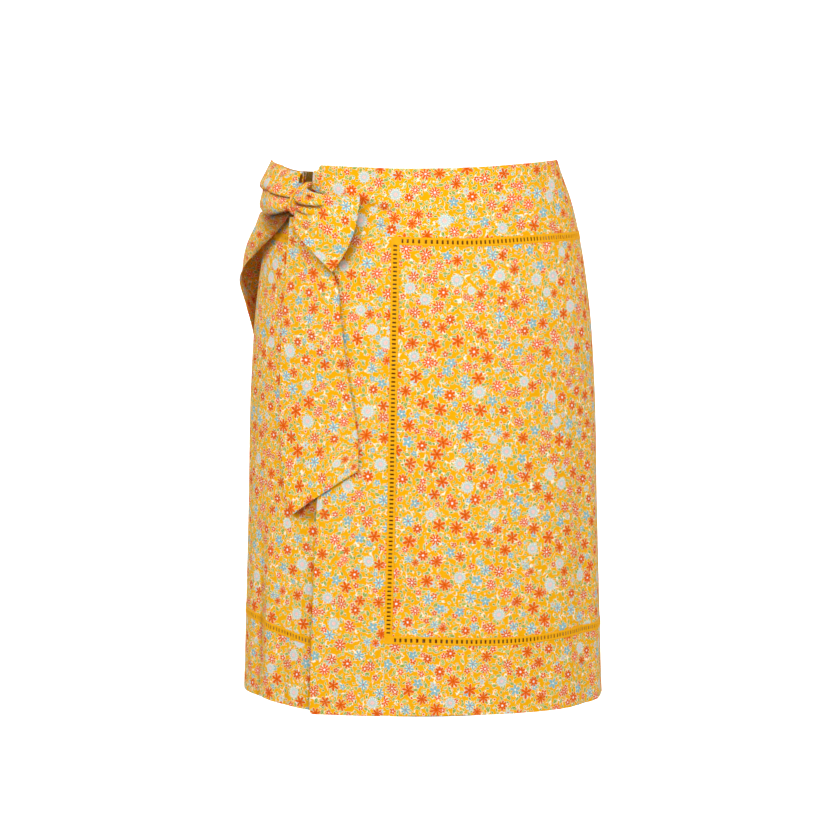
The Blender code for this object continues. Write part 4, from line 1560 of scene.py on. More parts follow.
@dataclass
class LadderTrim(Patch):
    """Trim let into a seam: two corded rails joined by bars, with a slot between each two bars."""

    upright: bool = False
    pitch: float = 4.1 * MM
    slot_share: float = 0.4
    columns: tuple[float, ...] = (0.0, 0.2, 0.4, 0.58, 0.8)
    rows: tuple[float, ...] = (0.0, 0.06, 0.16, 0.27, 0.42, 0.58, 0.73, 0.84, 0.94, 1.0)
    first_slot_row: int = 3
    last_slot_row: int = 5
    solid_start: int = 0
    rise: float = 0.25 * MM
    thickness: float = 0.3 * MM
    rail_bulge: float = 0.34 * MM
    bar_bulge: float = 0.28 * MM
    picot: float = 0.16 * MM
    picot_at: float = 0.17
    picot_power: int = 6
    bar_from: float = 0.8
    bar_run: float = 0.3
    shade: ReliefAt | None = None

    def _places(self, along: Array, across: Array) -> Places:
        """Angle and height at shares along and across the trim."""
        return self.places(across, along) if self.upright else self.places(along, across)

    def _measured(self, along: Array, across: Array) -> float:
        """Length of the line on the form through shares along and across the trim."""
        around, height = self._places(along, across)
        line = FORM.point(around, height, 0.0 * around)
        return float(np.linalg.norm(np.diff(line, axis=0), axis=1).sum())

    def shell(self) -> Shell:
        """Shell of the trim, its slots cut through.

        Formula: columns repeat along the trim once for each slot. Rails and bars swell outwards
        by a half wave across their own width, and the outer edges run in small scallops.
        """
        t = np.linspace(0, 1, 400)
        length = self._measured(t, np.full_like(t, 0.5))
        t = np.linspace(0, 1, 9)
        width = self._measured(np.full_like(t, 0.5), t)
        count = round(length / self.pitch)
        steps = (np.arange(count)[:, None] + np.array(self.columns)).ravel()
        steps = np.append(steps, count)
        along, across = np.meshgrid(steps / count, np.array(self.rows))
        phase = np.mod(steps, 1.0)[None, :] + 0.0 * across
        scallop = self.picot * np.cos(2.0 * math.pi * (phase - self.picot_at))
        edge_side = np.clip(2.0 * across - 1.0, -1.0, 1.0)
        across_place = across + edge_side * np.abs(edge_side) ** self.picot_power * scallop / width
        rail_share = np.minimum(across, 1.0 - across) / self.rows[self.first_slot_row]
        rail = self.rail_bulge * np.sin(math.pi * np.clip(rail_share, 0.0, 1.0))
        bar_share = np.clip((phase - self.slot_share) / (1.0 - self.slot_share), 0.0, 1.0)
        bar = self.bar_bulge * np.sin(math.pi * bar_share) * ease((rail_share - self.bar_from) / self.bar_run)
        around, height = self._places(along, np.clip(across_place, -0.05, 1.05))
        off = self.relief(around, height) + self.rise + rail + bar
        outer = FORM.point(around, height, off)
        inner = FORM.point(around, height, off - self.thickness - rail - bar)
        cut = np.stack([along * length, across * width], axis=-1)
        keep = np.ones((len(self.rows) - 1, len(steps) - 1), bool)
        holes = np.tile(np.array(self.columns) < self.slot_share - 1e-6, count)
        holes[: self.solid_start * len(self.columns)] = False
        keep[self.first_slot_row:self.last_slot_row + 1] = ~holes
        name = self.node + "_lace"
        # painted shade: deep where the overlap covers the underlap's trim, so that its slots show dark
        fold = None if self.shade is None else self.shade(around, height)
        if self.upright:
            return Shell(name, outer.swapaxes(0, 1), inner.swapaxes(0, 1), cut.swapaxes(0, 1), keep.T)
        return Shell(name, outer, inner, cut, keep, fold)

    def build(self, finishes: Finishes) -> Piece:
        """Finished trim."""
        return finish_piece(self.shell().build(finishes.trim), Slot.TRIM, [self.node])


@dataclass
class LadderTrims:
    """The trims of all the layers."""

    width: float = 8.0 * MM
    corner_periods: int = 2

    def trims(self) -> list[LadderTrim]:
        """Every length of trim."""
        half = 0.5 * self.width
        level, upright = Lines.level, Uprights.upright
        side = Uprights.straight(UPRIGHTS.side)
        far_side = Uprights.straight(360.0 - UPRIGHTS.side)
        near_side = Uprights.straight(-UPRIGHTS.side)
        start = upright(UPRIGHTS.trim, -half)
        found = []
        rows = (
            ("trim_yoke_front", start, side, LINES.yoke, front_off),
            ("trim_hem_front", start, side, LINES.hem_band, front_off),
            ("trim_yoke_back", side, far_side, LINES.yoke, back_off),
            ("trim_hem_back", side, far_side, LINES.hem_band, back_off),
            ("trim_yoke_underlap", near_side, UPRIGHTS.underlap_end, LINES.yoke, underlap_off),
            ("trim_hem_underlap", near_side, UPRIGHTS.underlap_end, LINES.underlap_hem_band,
             underlap_off),
        )
        for name, left, right, line, relief in rows:
            solid = self.corner_periods if left is start else 0
            top, bottom = level(line, half), level(line, -half)
            shade = under_overlap if relief is underlap_off else None
            found.append(LadderTrim(name, left, right, top, bottom, relief, solid_start=solid, shade=shade))
        found.append(LadderTrim(
            "trim_front_vertical", start, upright(UPRIGHTS.trim, half), level(LINES.yoke, -half),
            level(LINES.hem_band, half), front_off, upright=True,
        ))
        return found

    def build(self, finishes: Finishes) -> dict[str, Piece]:
        """All the trims, by node."""
        return {trim.node: trim.build(finishes) for trim in self.trims()}


# ---- Bow ----


@dataclass(frozen=True)
class Pleat:
    """Soft pleat along a tie: a trough or ridge whose middle runs from one share across to another.

    Attributes:
        start: share across the tie at the pleat's first end, and end at its last one.
        depth: outward movement, negative for a trough.
        half_width: share across from the middle to the foot of its upper side.
        first: share along the tie where it starts, and last where it ends.
        fade: power with which it dies away towards the last end.
        steep: half width of its lower side, as a share of the upper side's.
        kept: share of the depth that is left at the last end.
    """

    start: float
    end: float
    depth: float
    half_width: float
    first: float = 0.0
    last: float = 1.0
    fade: float = 1.0
    steep: float = 1.0
    kept: float = 0.0

    def off(self, along: Array, across: Array) -> Array:
        """Outward movement at shares along and across the tie: a bell across the pleat, fading along it."""
        run = np.clip((along - self.first) / (self.last - self.first), 0.0, 1.0)
        beside = across - self.start - (self.end - self.start) * run
        width = self.half_width * (0.55 + 0.9 * run) * np.where(beside > 0.0, self.steep, 1.0)
        strength = self.kept + (1.0 - self.kept) * (1.0 - run) ** self.fade
        begun = ease((along - self.first + 0.02) / 0.04)
        return self.depth * np.exp(-((beside / width) ** 2)) * strength * begun


def pleats(*rows: tuple[float, ...]) -> tuple[Pleat, ...]:
    """Pleats from rows of their numbers in order, with the depths in millimetres."""
    return tuple(Pleat(*row[:2], row[2] * MM, *row[3:]) for row in rows)


def pleated(folds: Sequence[Pleat], along: Array, across: Array) -> Array:
    """Sum of the pleats' movements."""
    return sum((pleat.off(along, across) for pleat in folds), np.zeros_like(along))


@dataclass
class Knot:
    """Knot of the bow: the tie drawn round the gathered straps as a narrow band with lengthways folds."""

    node: str = "bow_knot"
    path: Table = Table(("height", "around", "half_width", "off"), (
        (-0.0508, -48.2, 0.0028, 0.015),
        (-0.0465, -48.9, 0.0042, 0.0186),
        (-0.0402, -49.8, 0.0042, 0.0208),
        (-0.0344, -49.8, 0.0048, 0.0214),
        (-0.0257, -48.3, 0.006, 0.0206),
        (-0.0185, -46.4, 0.0068, 0.0176),
        (-0.007, -47.9, 0.006, 0.015),
    ))
    low: float = -0.0503
    high: float = -0.0172
    foot: float = 0.009
    hip_radius: float = 0.138
    narrowing: float = 0.55
    folds: Rows = ((0.9 * MM, 7.4, 0.9, 0.5), (0.5 * MM, 12.0, -1.6, 0.0))
    rows: int = 64
    columns: int = 34

    def edge(self, height: Array, side: Side) -> Array:
        """Angle at which the tie passes in under the knot, halfway between its middle and its side."""
        half_width = 0.5 * self.path.at("half_width", height)
        return self.path.at("around", height) + side.value * np.degrees(half_width / self.hip_radius)

    def build(self, finishes: Finishes) -> Piece:
        """Finished knot.

        Formula: at shares u across and v down from -1 to 1 the band swells from its foot by
        (1 - |u| to the 2.6) to the power 0.5, times (1 - v to the 8) to the power 0.5, and each
        fold is a wave size cos(a u + b v + c).
        """
        across, down = np.linspace(-1.5, 1.5, self.columns), np.linspace(-1.53, 1.53, self.rows)
        u, v = np.meshgrid(np.sin(across), np.sin(down))
        height = 0.5 * (self.low + self.high) - 0.5 * (self.high - self.low) * v
        half_width = self.path.at("half_width", height) * (1.0 - self.narrowing * v**8)
        around = self.path.at("around", height) + np.degrees(half_width * u / self.hip_radius)
        swell = (1.0 - np.abs(u) ** 2.6) ** 0.5 * (1.0 - v**8) ** 0.5
        folds = sum(size * np.cos(a * u + b * v + c) for size, a, b, c in self.folds)
        off = self.foot + (self.path.at("off", height) - self.foot) * swell + folds * (1.0 - u**4) * swell
        outer = FORM.point(around, height, off)
        inner = FORM.point(around, height, 0.0 * off + self.foot - 1.0 * MM)
        run, width = grid_lengths(outer)
        cut = np.stack([width + 0.47, run + 0.27], axis=-1)
        # painted shade: darker where the band turns in at its sides and in its folds
        fold = np.maximum(0.85 * np.abs(u) ** 9, hollow(folds, 3, 0.5 * MM) * 0.7)
        shell = Shell(self.node + "_wrap", outer, inner, cut, fold=fold)
        return finish_piece(shell.build(finishes.print_outside), Slot.PRINT, [self.node])


@dataclass
class Loop:
    """Bow loop: the tie runs out from the knot, folds over at its far end and runs back beneath.

    Attributes:
        front_pleats: pleats of the outer layer, and back_pleats those of the layer beneath.
        peeping: reaches and shares across between which the layers part beside the knot.
        low_roll: how far the lower edge rolls in.
        low_in: how much nearer the skirt the lower half lies at the far end.
        top_closing: share of the opening that the top edge loses, over top_closing_share across.
        back_roll: roll of the run back's lower edge, as a share of the run out's, and back_curl its curl.
        within: shade of the run back, deep in the loop beside the knot.
    """

    node: str
    side: Side
    outline: Table
    front_pleats: tuple[Pleat, ...]
    back_pleats: tuple[Pleat, ...]
    cut_from: Pair
    knot: Knot
    peeping: tuple[float, ...] | None = None
    low_roll: float = 0.0
    low_in: float = 0.0
    steps: int = 110
    across: int = 72
    cloth: float = 0.9 * MM
    root_reach: float = 0.35
    edge_curl: float = 0.8 * MM
    top_closing: float = 0.88
    top_closing_share: float = 0.16
    top_lowering: float = 0.5 * MM
    roll_share: float = 0.07
    back_roll: float = -0.2
    curl_share: float = 0.05
    back_curl: float = -0.3
    within: float = 0.86
    pleat_spread: int = 14
    pleat_full: float = 1.1 * MM

    def _grid(self) -> Places:
        """Turn from 0 to pi and share across from 0 to 1."""
        return even_grid(np.linspace(0, math.pi, self.steps + 1), np.linspace(0, 1, self.across + 1))

    def middle_surface(self) -> Places:
        """Middle surface of the cloth, and its painted shade: in its folds, by the knot, under its rolled
        lower edge and deep in the loop.

        Formula: as the turn goes from 0 to pi the reach is its sine, so the tie goes out and back;
        the outline is a quadratic through the top, middle and low points at each reach, and the
        cosine of the turn parts the two layers.
        """
        turn, t = self._grid()
        reach = np.sin(turn)
        value = {key: self.outline.at(key, reach) for key in self.outline.names[1:]}
        weights = {"top": (1 - t) * (1 - 2 * t), "middle": 4 * t * (1 - t), "low": t * (2 * t - 1)}
        around, height = (
            sum(weight * value[f"{line}_{key}"] for line, weight in weights.items())
            for key in ("around", "height")
        )
        root = np.clip(1 - reach / self.root_reach, 0, 1)
        around = around * (1 - root) + self.knot.edge(height, self.side) * root
        closing = np.exp(-t / self.top_closing_share) * ease(2.0 * reach - 0.2)
        rolling = np.exp(-(1.0 - t) / self.roll_share) * ease(3.0 * reach)
        out_run = turn < math.pi / 2
        roll = self.low_roll * rolling * np.where(out_run, 1.0, self.back_roll)
        off = value["off"] - self.top_lowering * closing - roll
        off = off + value["half_opening"] * np.cos(turn) * (1.0 - self.top_closing * closing)
        off = off - self.low_in * ease((t - 0.35) / 0.35) * ease((reach - 0.55) / 0.45)
        creased = pleated(self.front_pleats, reach, t) * out_run
        creased = creased + pleated(self.back_pleats, reach, t) * ~out_run
        edge = np.exp(-np.minimum(t, 1 - t) / self.curl_share)
        curl = self.edge_curl * edge * reach * (1 - reach) * 4.0 * np.where(out_run, 1.0, self.back_curl)
        off = off + creased + curl
        # painted shade by the knot, under the rolled lower edge, deep in the loop and in the pleats' hollows
        gathered = 0.55 * np.exp(-reach / 0.07)
        rolled = 0.9 * np.exp(-(1.0 - t) / 0.035) * (self.low_roll > 0.0) * ease(3.0 * reach)
        within = self.within * ease((0.6 - reach) / 0.3) * ~out_run
        fold = np.max([gathered, rolled, within, hollow(creased, self.pleat_spread, self.pleat_full)], axis=0)
        return FORM.point(around, height, off), fold

    def _kept(self) -> Array | None:
        """Cells that are cloth; the others are the gap between the gathered layers."""
        if self.peeping is None:
            return None
        turn, t = (0.25 * (g[:-1, :-1] + g[1:, :-1] + g[:-1, 1:] + g[1:, 1:]) for g in self._grid())
        near, far, first, last = self.peeping
        reach = np.sin(turn)
        inside = (reach > near) & (reach < far) & (t > first + 0.6 * (reach - near)) & (t < last)
        behind = (turn > math.pi / 2) & (reach < far) & (t < last)
        return ~(inside | behind)

    def build(self, finishes: Finishes) -> Piece:
        """Finished loop."""
        points, fold = self.middle_surface()
        return strip_piece(self.node, points, fold, self.cloth, self.cut_from, finishes, self._kept())


EDGE_THICKNESS = 0.45        # share of a tie's thickness that is left at its edges
EDGE_REACH = 1.4 * MM        # distance from an edge at which the thickness is whole
END_MARGIN = 0.4 * MM        # what an end counts as farther away than a side


def strip_piece(node: str, points: Array, fold: Array, cloth: float, cut_from: Pair,
                finishes: Finishes, keep: Array | None = None) -> Piece:
    """Piece of doubled tie cloth over a grid of points, with thin rounded edges.

    Args:
        node: node that it replaces.
        points: middle surface, whose rows run along the tie.
        fold: painted shade at each place, from 0 to 1, from its folds and the shadows of other pieces.
        cloth: thickness away from the edges.
        cut_from: place on the flat cloth of the piece's start.
        finishes: the skirt's finishes.
        keep: which cells are cloth; None keeps all.

    Returns:
        The finished piece.
    """
    along, across = grid_lengths(points)
    width = across[:, -1] - across[:, 0]
    share = (across - across[:, :1]) / np.maximum(width[:, None], 1e-9)
    away = np.minimum(share, 1.0 - share) * width[:, None]
    length = along[-1][None, :]
    away = np.minimum(away, np.minimum(along, length - along) + END_MARGIN)
    rounded = np.sqrt(np.clip(away / EDGE_REACH, 0.0, 1.0))
    thickness = cloth * (EDGE_THICKNESS + (1.0 - EDGE_THICKNESS) * rounded)
    half = 0.5 * thickness[..., None] * sheet_normals(points)
    down = along.mean(axis=1, keepdims=True) + 0.0 * across
    cut = np.stack([across + cut_from[0], down + cut_from[1]], axis=-1)
    shell = Shell(node + "_cloth", points + half, points - half, cut, keep, fold, 1.0)
    return finish_piece(shell.build(finishes.print_outside), Slot.PRINT, [node])


@dataclass
class Strip:
    """Stub or tail of a tie between its near and far edges.

    Attributes:
        end_edge: edge of the skirt that its last step follows.
        gathered_reach: share of its length over which painted shade darkens it by the knot, where the gathers
            lie in shadow.
        contacts: shades that other pieces throw on it.
        belly: how far its middle stands out round belly_at, a share of its length.
    """

    node: str
    outline: Table
    pleats: tuple[Pleat, ...]
    cut_from: Pair
    steps: int
    across: int
    cloth: float = 0.9 * MM
    edge_lift: float = 0.0
    end_edge: Edge | None = None
    gathered_reach: float = 0.0
    contacts: tuple[Contact, ...] = ()
    belly: float = 0.0
    belly_at: float = 0.37
    belly_reach: float = 0.16
    edge_share: float = 0.09
    pleat_spread: int = 9
    pleat_full: float = 1.5 * MM

    def middle_surface(self) -> Places:
        """Middle surface, straight across between the two edges plus its pleats, and its painted shade: in
        its folds, by the knot and where other pieces lie on it.
        """
        s, t = even_grid(np.linspace(0, 1, self.steps + 1), np.linspace(0, 1, self.across + 1))
        value = {key: self.outline.at(key, s) for key in self.outline.names[1:]}
        around = value["near_around"] * (1 - t) + value["far_around"] * t
        height = value["near_height"] * (1 - t) + value["far_height"] * t
        off = value["near_off"] * (1 - t) + value["far_off"] * t
        if self.end_edge is not None:
            before = self.outline.rows[-2][0]
            last = np.clip((s - before) / (self.outline.rows[-1][0] - before), 0, 1)
            around = around * (1 - last) + self.end_edge(height) * last
        creased = pleated(self.pleats, s, t)
        edge = np.exp(-np.minimum(t, 1 - t) / self.edge_share) * ease(s / 0.15)
        folded = np.exp(-(((s - self.belly_at) / self.belly_reach) ** 2)) * np.sin(np.pi * t) ** 2
        off = off + creased + self.edge_lift * edge + self.belly * folded
        # painted shade: the pleats' hollows, the gathers by the knot and the shadows that other pieces throw
        # on it
        fold = hollow(creased, self.pleat_spread, self.pleat_full)
        if self.gathered_reach:
            fold = np.maximum(fold, 0.95 * ease((self.gathered_reach - s) / (0.6 * self.gathered_reach)))
        for contact in self.contacts:
            fold = np.maximum(fold, contact.at(around, height))
        return FORM.point(around, height, off + FRONT_RELIEF.off(around, height)), fold

    def build(self, finishes: Finishes) -> Piece:
        """Finished strip."""
        points, fold = self.middle_surface()
        return strip_piece(self.node, points, fold, self.cloth, self.cut_from, finishes)


@dataclass
class Bow:
    """Bow on the hip: knot, two loops, two stubs and two tails."""

    tuck: float = 1.6 * MM
    loop_columns: tuple[str, ...] = (
        "reach", "top_around", "top_height", "middle_around", "middle_height", "low_around",
        "low_height", "off", "half_opening",
    )
    strip_columns: tuple[str, ...] = (
        "step", "near_around", "near_height", "near_off", "far_around", "far_height", "far_off",
    )
    knot: Knot = field(default_factory=Knot)

    def _loops(self) -> list[Loop]:
        """Both loops."""
        front = Table(self.loop_columns, (
            (0.0, -45.0, -0.019, -47.0, -0.0345, -50.0, -0.048, 0.0122, 0.0032),
            (0.35, -38.0, -0.0275, -37.5, -0.05, -42.8, -0.069, 0.0125, 0.005),
            (0.7, -28.8, -0.0295, -29.2, -0.061, -35.4, -0.086, 0.012, 0.0056),
            (1.0, -21.7, -0.0305, -22.8, -0.068, -29.2, -0.102, 0.01, 0.005),
        ))
        hip = Table(self.loop_columns, (
            (0.0, -49.5, -0.0071, -50.9, -0.0261, -52.2, -0.0446, 0.0122, 0.0032),
            (0.35, -55.6, -0.0069, -55.8, -0.0268, -54.6, -0.0462, 0.0135, 0.0055),
            (0.7, -65.0, -0.0036, -67.5, -0.0262, -59.6, -0.0492, 0.015, 0.0065),
            (0.9, -71.6, -0.0014, -73.6, -0.026, -64.2, -0.0502, 0.0164, 0.0064),
            (1.0, -90.0, 0.0012, -89.0, -0.0286, -70.5, -0.0514, 0.0165, 0.0062),
        ))
        front_pleats = pleats(
            (0.12, 0.11, -1.6, 0.05, 0.2, 0.95, 0.6),
            (0.3, 0.16, 2.0, 0.09, 0.0, 0.55, 0.8),
            (0.46, 0.08, 3.8, 0.13, 0.0, 0.5, 0.7, 0.22),
            (0.58, 0.17, -3.0, 0.055, 0.0, 0.48, 0.5),
            (0.66, 0.34, 2.4, 0.06, 0.0, 0.36, 0.9, 0.4),
            (0.76, 0.42, -2.4, 0.045, 0.0, 0.4, 0.7),
            (0.92, 0.8, -1.6, 0.04, 0.0, 0.44, 0.8),
            (0.6, 0.62, 0.9, 0.14, 0.3, 1.0, 0.8),
            (0.8, 0.84, -0.8, 0.08, 0.3, 1.0, 0.8),
        )
        hip_pleats = pleats(
            (0.2, 0.16, 1.0, 0.08, 0.0, 0.8, 0.9),
            (0.44, 0.34, -1.4, 0.05, 0.0, 0.45, 0.8),
            (0.66, 0.46, 2.8, 0.2, 0.0, 1.0, 0.8, 0.1, 0.9),
            (0.72, 0.5, -2.6, 0.05, 0.0, 1.0, 0.8, 1.0, 0.8),
            (0.84, 0.62, -2.0, 0.04, 0.0, 0.62, 0.8),
            (0.9, 0.8, 2.4, 0.11, 0.0, 1.1, 0.8, 1.0, 0.5),
        )
        behind = pleats((0.35, 0.38, 1.2, 0.09, 0.0, 0.7, 0.9), (0.68, 0.66, -1.1, 0.09, 0.0, 0.6, 0.9))
        return [
            Loop("bow_loop_right", Side.FRONT, front, front_pleats, behind, (1.1, 0.2), self.knot),
            Loop("bow_loop_left", Side.HIP, hip, hip_pleats, behind, (1.31, 0.52), self.knot,
                 (0.03, 0.15, 0.02, 0.29), 4.0 * MM, 3.6 * MM),
        ]

    def _strips(self) -> list[Strip]:
        """Stubs and tails."""
        stub_overlap = Table(self.strip_columns, (
            (0.0, -49.6, -0.048, 0.003, -45.2, -0.019, 0.0075),
            (0.5, -44.6, -0.058, 0.0012, -46.4, -0.0115, 0.005),
            (0.8, -42.2, -0.062, 0.0008, -48.6, -0.0072, 0.002),
            (1.0, -40.2, -0.065, -0.0002, -48.9, -0.0055, -0.0002),
        ))
        stub_side = Table(self.strip_columns, (
            (0.0, -56.4, -0.047, 0.0014, -53.6, -0.024, 0.0014),
            (0.4, -66.0, -0.054, 0.0016, -66.0, -0.02, 0.0018),
            (1.0, -88.0, -0.06, 0.0012, -88.0, -0.016, 0.0012),
        ))
        tail_front = Table(self.strip_columns, (
            (0.0, -54.6, -0.052, 0.0056, -49.0, -0.0516, 0.0054),
            (0.08, -53.6, -0.074, 0.004, -40.0, -0.074, 0.0038),
            (0.2, -52.8, -0.105, 0.0024, -29.5, -0.106, 0.003),
            (0.36, -52.3, -0.15, 0.0018, -25.6, -0.152, 0.0028),
            (0.52, -51.8, -0.2, 0.0022, -22.9, -0.2, 0.0022),
            (0.68, -51.5, -0.245, 0.0016, -20.4, -0.238, 0.0018),
            (0.84, -49.6, -0.295, 0.0013, -18.8, -0.27, 0.002),
            (0.93, -47.6, -0.323, 0.0018, -18.7, -0.284, 0.0026),
            (1.0, -44.5, -0.342, 0.0026, -18.8, -0.295, 0.0034),
        ))
        tail_side = Table(self.strip_columns, (
            (0.0, -55.6, -0.051, 0.0046, -58.0, -0.043, 0.004),
            (0.1, -62.5, -0.068, 0.0064, -77.0, -0.048, 0.007),
            (0.22, -75.5, -0.089, 0.0105, -95.0, -0.056, 0.0114),
            (0.34, -89.0, -0.106, 0.017, -110.0, -0.09, 0.0064),
            (0.42, -94.0, -0.119, 0.0205, -117.0, -0.118, 0.005),
            (0.54, -98.5, -0.147, 0.0125, -122.0, -0.152, 0.0036),
            (0.66, -103.0, -0.18, 0.005, -126.0, -0.19, 0.0024),
            (0.82, -105.5, -0.24, 0.0022, -128.0, -0.245, 0.0018),
            (1.0, -106.5, -0.29, 0.002, -127.0, -0.318, 0.0018),
        ))
        tail_pleats = pleats(
            (0.3, 0.34, 1.5, 0.1, 0.0, 0.55, 0.8),
            (0.58, 0.56, 1.4, 0.09, 0.0, 0.46, 0.8),
            (0.8, 0.84, 1.2, 0.08, 0.0, 0.62, 0.8),
        )
        side_pleats = pleats(
            (0.35, 0.3, 1.6, 0.1, 0.0, 0.35, 0.9),
            (0.7, 0.68, -1.2, 0.1, 0.0, 0.42, 0.9),
        )
        wrap = Uprights.upright(UPRIGHTS.wrap_edge, self.tuck)
        under_loop, in_pocket = Contact(LOOP_LOW, -1, 0.52, 3.4 * MM), Contact(POCKET, -1, 0.66, 5.5 * MM)
        return [
            Strip("tie_overlap", stub_overlap, (), (0.97, 0.18), 24, 22, end_edge=wrap),
            Strip("tie_side", stub_side, (), (0.77, 0.02), 44, 22),
            Strip("tail_front", tail_front, tail_pleats, (0.42, 1.22), 130, 40, edge_lift=1.0 * MM,
                  contacts=(under_loop,)),
            Strip("tail_side", tail_side, side_pleats, (0.66, 1.04), 140, 34, gathered_reach=0.18,
                  contacts=(in_pocket,), belly=8.6 * MM),
        ]

    def build(self, finishes: Finishes) -> dict[str, Piece]:
        """All the pieces of the bow, by node."""
        parts: Iterable[Knot | Loop | Strip] = (self.knot, *self._loops(), *self._strips())
        made = {part.node: part.build(finishes) for part in parts}
        made["bow_inner_fold"] = self._inner_fold(finishes)
        return made

    @staticmethod
    def _inner_fold(finishes: Finishes) -> Piece:
        """Hollow fold of the tie that shows between the gathers above the knot, as a sheet in the print
        darkened as painted shade.
        """
        u, v = np.meshgrid(np.linspace(0, 1, 13), np.linspace(0, 1, 13))
        around = -54.6 + 8.6 * u + 1.6 * v
        height = -0.0078 - 0.0135 * v
        off = 0.8 * MM - 1.2 * MM * np.sin(math.pi * u)
        outer = FORM.point(around, height, off)
        inner = FORM.point(around, height, off - 0.5 * MM)
        cut = np.stack([0.014 * u + 0.2, 0.0135 * v + 0.9], axis=-1)
        shell = Shell("bow_inner_fold", outer, inner, cut)
        return finish_piece(shell.build(finishes.print_deep), Slot.PRINT)


# ---- Sewing ----


@dataclass
class StitchRow:
    """Row of machine stitches along a line on the skirt, as one mesh."""

    name: str
    place: Callable[[Array], Places]
    relief: ReliefAt
    pitch: float = 3.0 * MM
    length: float = 2.2 * MM
    half_width: float = 0.17 * MM
    rise: float = 0.2 * MM
    thickness: float = 0.22 * MM

    def build(self, finishes: Finishes) -> Piece:
        """Finished row: each stitch is a small bolster of three rings of four points.

        Formula: a ring lies at -1, 0 and 1 half lengths along the line, narrower at both ends.
        """
        t = np.linspace(0, 1, 1200)
        around, height = self.place(t)
        line = FORM.point(around, height, self.relief(around, height) + self.rise)
        run = running(np.linalg.norm(np.diff(line, axis=0), axis=1))
        count = int(run[-1] / self.pitch)
        middle = (np.arange(count) + 0.5) * self.pitch
        centre = np.stack([np.interp(middle, run, line[:, k]) for k in range(3)], axis=-1)
        ahead = np.stack([np.interp(middle + 0.4 * MM, run, line[:, k]) for k in range(3)], axis=-1)
        tangent = unit(ahead - centre)
        axis_out = centre * np.array([1.0, 1.0, 0.0])
        axis_out = unit(axis_out - tangent * np.sum(axis_out * tangent, axis=-1, keepdims=True))
        beside = np.cross(tangent, axis_out)
        rings = np.array([(-1.0, 0.45, -0.8), (0.0, 1.0, 0.35), (1.0, 0.45, -0.8)])
        square = np.array([(1.0, 0.0), (0.0, 1.0), (-1.0, 0.0), (0.0, -1.0)])
        along = rings[:, 0][None, :, None, None] * tangent[:, None, None, :] * 0.5 * self.length
        wide = (rings[:, 1][:, None] * square[:, 0])[None, :, :, None] * beside[:, None, None, :]
        wide = wide * self.half_width
        lift = (rings[:, 1][:, None] * square[:, 1] + rings[:, 2][:, None])[None, :, :, None]
        high = lift * axis_out[:, None, None, :] * 0.5 * self.thickness
        points = centre[:, None, None, :] + along + wide + high
        base = (np.arange(count) * 12)[:, None]
        ring_faces = [
            (start + k, start + (k + 1) % 4, start + 4 + (k + 1) % 4, start + 4 + k)
            for start in (0, 4) for k in range(4)
        ]
        caps = [(3, 2, 1, 0), (8, 9, 10, 11)]
        faces = np.concatenate([base + np.array(quad) for quad in (*ring_faces, *caps)])
        mesh = quad_mesh(self.name, points.reshape(-1, 3), faces)
        shares = np.tile(rings[:, 0], (count, 1)) * 0.5 * self.length + middle[:, None]
        sides = np.tile(square[:, 0] * self.half_width, count * 3)
        cut = np.stack([np.repeat(shares.ravel(), 4), sides], axis=-1)
        layer = mesh.uv_layers.new(name=CUT_MAP, do_init=False)
        layer.uv.foreach_set("vector", cut[faces].astype(np.float32).ravel())
        mesh.materials.append(finishes.trim)
        mesh.shade_smooth()
        return finish_piece(linked(self.name, mesh), Slot.TRIM)


Row = Callable[[Array], Places]


@dataclass
class Sewing:
    """Rows of stitches along the hems, the waist and the free edge."""

    hem_up: float = 12.5 * MM
    waist_down: float = 3.2 * MM
    edge_in: float = 7.4 * MM
    edge_from: float = 1.5 * MM
    edge_top: float = -0.078
    edge_bottom: float = -0.532
    hidden_end: float = -20.0

    @staticmethod
    def _level_row(first: Edge, last: Edge, line: Table, shift: float) -> Row:
        """Places along a level line between two upright edges."""
        def place(t: Array) -> Places:
            start = first(np.array([line.rows[0][1]]))[0]
            end = last(np.array([line.rows[-1][1]]))[0]
            around = start + (end - start) * t
            return around, line.at("height", turned(around)) + shift
        return place

    @staticmethod
    def _upright_row(rows: Table, shift: float, top: float, bottom: float) -> Row:
        """Places down an upright edge."""
        def place(t: Array) -> Places:
            height = top + (bottom - top) * t
            return FORM.around_at(rows.at("x", height) + shift, height), height
        return place

    def build(self, finishes: Finishes) -> dict[str, Piece]:
        """All the rows of stitches."""
        wrap = Uprights.upright(UPRIGHTS.wrap_edge, self.edge_from)
        side, far = Uprights.straight(UPRIGHTS.side), Uprights.straight(360.0 - UPRIGHTS.side)
        near, hidden = Uprights.straight(-UPRIGHTS.side), Uprights.straight(self.hidden_end)
        level = self._level_row
        edge = self._upright_row(UPRIGHTS.wrap_edge, self.edge_in, self.edge_top, self.edge_bottom)
        hem = self.hem_up
        rows = [
            StitchRow("stitches_hem_front", level(wrap, side, LINES.hem, hem), front_off),
            StitchRow("stitches_hem_back", level(side, far, LINES.hem, hem), back_off),
            StitchRow("stitches_hem_underlap", level(near, hidden, LINES.underlap_hem, hem), underlap_off),
            StitchRow("stitches_waist_front", level(wrap, side, LINES.waist, -self.waist_down), front_off),
            StitchRow("stitches_waist_back", level(side, far, LINES.waist, -self.waist_down), back_off),
            StitchRow("stitches_wrap_edge", edge, front_off),
        ]
        return {row.name: row.build(finishes) for row in rows}


# ---- Cut sizes of the cloth ----


LEAST_SHARE = 0.31    # least share of its rectangle that a sheet may state as its area


def surface_area(piece: Piece) -> float:
    """Area of one layer of a closed shell, in square metres."""
    areas = np.zeros(len(piece.data.polygons), np.float32)
    piece.data.polygons.foreach_get("area", areas)
    return float(areas.sum()) / 2.0


